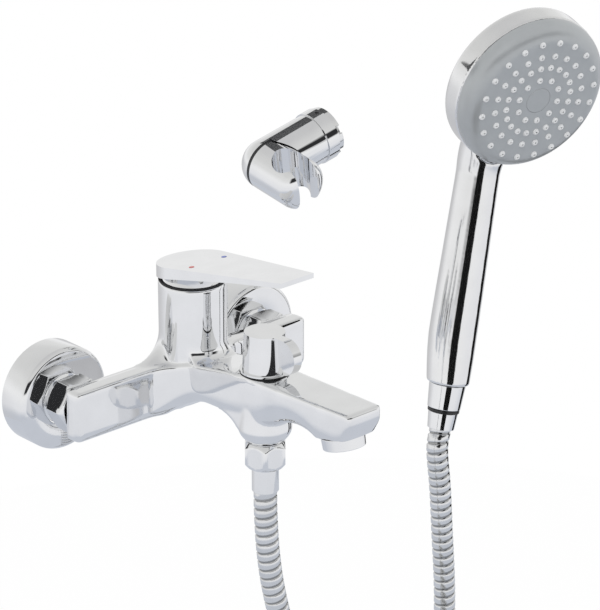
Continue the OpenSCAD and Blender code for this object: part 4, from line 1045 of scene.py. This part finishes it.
HANDLE_STEPS = 48
NECK_STEPS = 12
HANDLE_BACK = 2.6
NECK = [Vector((0, HANDLE_BACK, 136)), Vector((0, HANDLE_BACK, 152)), Vector((0, -2.5, 166)), Vector((0, -12, 177.5))]
NECK_RADIUS, NECK_GROWTH = 13.9, 4.1
HEAD_ROUNDS = [(3, 2.0), (4, 2.5), (5, 3.6), (6, 0.8)]
JET_PROFILE = [(0.5, 12.5), (0.5, 13.1), (0.9, 13.3), (1.5, 13.1), (1.95, 12.6), (2.1, 11.9), (2.1, 10.6), (1.4, 9.5),
               (0.5, 9.5)]
JET_RINGS = ((14.5, 10), (23, 20), (31, 20), (40, 20))
JET_START = 2


def ring_of(place, radius):
    """A circle of points about a frame's Z."""
    angles = [math.tau * i / HANDLE_STEPS for i in range(HANDLE_STEPS)]
    return [place @ Vector((radius * math.cos(a), radius * math.sin(a), 0)) for a in angles]


class MIXER_OT_handset(Operator):
    """Makes the hand shower's handle, head and spray face"""

    bl_idname = "mixer.handset"
    bl_label = "Hand shower"

    def execute(self, context):
        size = context.scene.mixer.handset
        rim, widest = size.head_radius / MM, size.handle_radius / MM
        grip = ((0, 13.0, 0), (0.4, 13.6, 0), (1.2, 13.8, 0.1), (10, 14.5, 0.95), (20, 15.1, 1.85), (30, widest, 2.5),
                (42, 15.35, HANDLE_BACK), (60, 15.1, HANDLE_BACK), (82, 14.7, HANDLE_BACK), (110, 14.25, HANDLE_BACK),
                (128, 13.95, HANDLE_BACK))
        rings = [ring_of(shift(0, y, z), r) for z, r, y in grip]
        a, b, c, d = NECK
        for i in range(NECK_STEPS + 1):
            t = i / NECK_STEPS
            u = 1 - t
            middle = a * u**3 + b * 3 * u * u * t + c * 3 * u * t * t + d * t**3
            bent = Matrix.Translation(middle) @ turn(HEAD_TILT * t * t * (3 - 2 * t), "X")
            rings.append(ring_of(bent, NECK_RADIUS + NECK_GROWTH * t))
        handle = lofted(rings)
        head = turned([(0, -23), (8, -22.8), (rim * 0.45, -21.0), (rim * 0.75, -18.4), (rim - 5, -16), (rim, -16),
                       (rim, 0), (0, 0)], HEAD_ROUNDS, closed=False)
        both = joined((handle, HANDSET), (head, HEAD))
        shell = piece(both, "hand_shower", "plated_plastic", "handset", ("handset_shell",))
        blended(shell, size.grain)
        dressed("handset_face", "spray_face", "grey_face", "handset", 0.25, 2)
        jet = turned(JET_PROFILE, steps=16)
        mesh = bpy.data.meshes.new("jet")
        jet.to_mesh(mesh)
        jet.free()
        jets = bmesh.new()
        for radius, count in JET_RINGS:
            for i in range(count):
                first = len(jets.verts)
                jets.from_mesh(mesh)
                jets.verts.ensure_lookup_table()
                seat = turn(JET_START + 360 * i / count, "Z") @ shift(radius, 0, 0)
                bmesh.ops.transform(jets, matrix=seat, verts=jets.verts[first:])
        bpy.data.meshes.remove(mesh)
        piece(jets, "nozzles", "nozzle_silicone", "handset", ("nozzle_set",), HEAD)
        dressed("face_cap", "face_button", "grey_face", "handset", 0.4)
        return {"FINISHED"}


class MIXER_OT_bracket(Operator):
    """Makes the wall bracket and its tilting cradle"""

    bl_idname = "mixer.bracket"
    bl_label = "Bracket"

    def execute(self, context):
        dressed("bracket_foot", "bracket_base_ring", "chrome", "mixer", 0.6)
        dressed("bracket_barrel", "bracket_arm", "chrome", "mixer", 0.5)
        dressed("bracket_cradle", "handset_cradle", "chrome", "cradle", 0.8)
        dressed("bracket_plate", "bracket_wall_disc", "plated_plastic", "mixer", 0.4)
        return {"FINISHED"}


class MIXER_OT_inner_pieces(Operator):
    """Gives every CAD piece that stays its own finish"""

    bl_idname = "mixer.inner_pieces"
    bl_label = "Inner pieces"

    def execute(self, context):
        for row in frame["record"]["subparts"]:
            data = frame["nodes"][row["node"]].data
            if not data.materials:
                data.materials.append(None)
            for index in range(len(data.materials)):
                data.materials[index] = finish_of(row["material_slot"])
        return {"FINISHED"}


OPERATORS = (MIXER_OT_stage, MIXER_OT_hose, MIXER_OT_body, MIXER_OT_wall_unions, MIXER_OT_lever, MIXER_OT_diverter,
             MIXER_OT_outlets, MIXER_OT_handset, MIXER_OT_bracket, MIXER_OT_inner_pieces)


class MIXER_PT_sidebar(Panel):
    """Lists the steps that build the mixer"""

    bl_idname = "MIXER_PT_sidebar"
    bl_label = "Bath and shower mixer"
    bl_space_type = "VIEW_3D"
    bl_region_type = "UI"
    bl_category = "Mixer"

    def draw(self, context):
        for step in OPERATORS:
            self.layout.operator(step.bl_idname)


SETTINGS = (StageSettings, FinishSettings, HoseSettings, BodySettings, HandsetSettings, MixerSettings)


def register():
    for cls in (*SETTINGS, *OPERATORS, MIXER_PT_sidebar):
        bpy.utils.register_class(cls)
    bpy.types.Scene.mixer = PointerProperty(type=MixerSettings)


def unregister():
    del bpy.types.Scene.mixer
    for cls in reversed((*SETTINGS, *OPERATORS, MIXER_PT_sidebar)):
        bpy.utils.unregister_class(cls)


def main():
    register()
    bpy.ops.mixer.stage()
    bpy.ops.mixer.hose()
    bpy.ops.mixer.body()
    bpy.ops.mixer.wall_unions()
    bpy.ops.mixer.lever()
    bpy.ops.mixer.diverter()
    bpy.ops.mixer.outlets()
    bpy.ops.mixer.handset()
    bpy.ops.mixer.bracket()
    bpy.ops.mixer.inner_pieces()


if __name__ == "__main__":
    main()
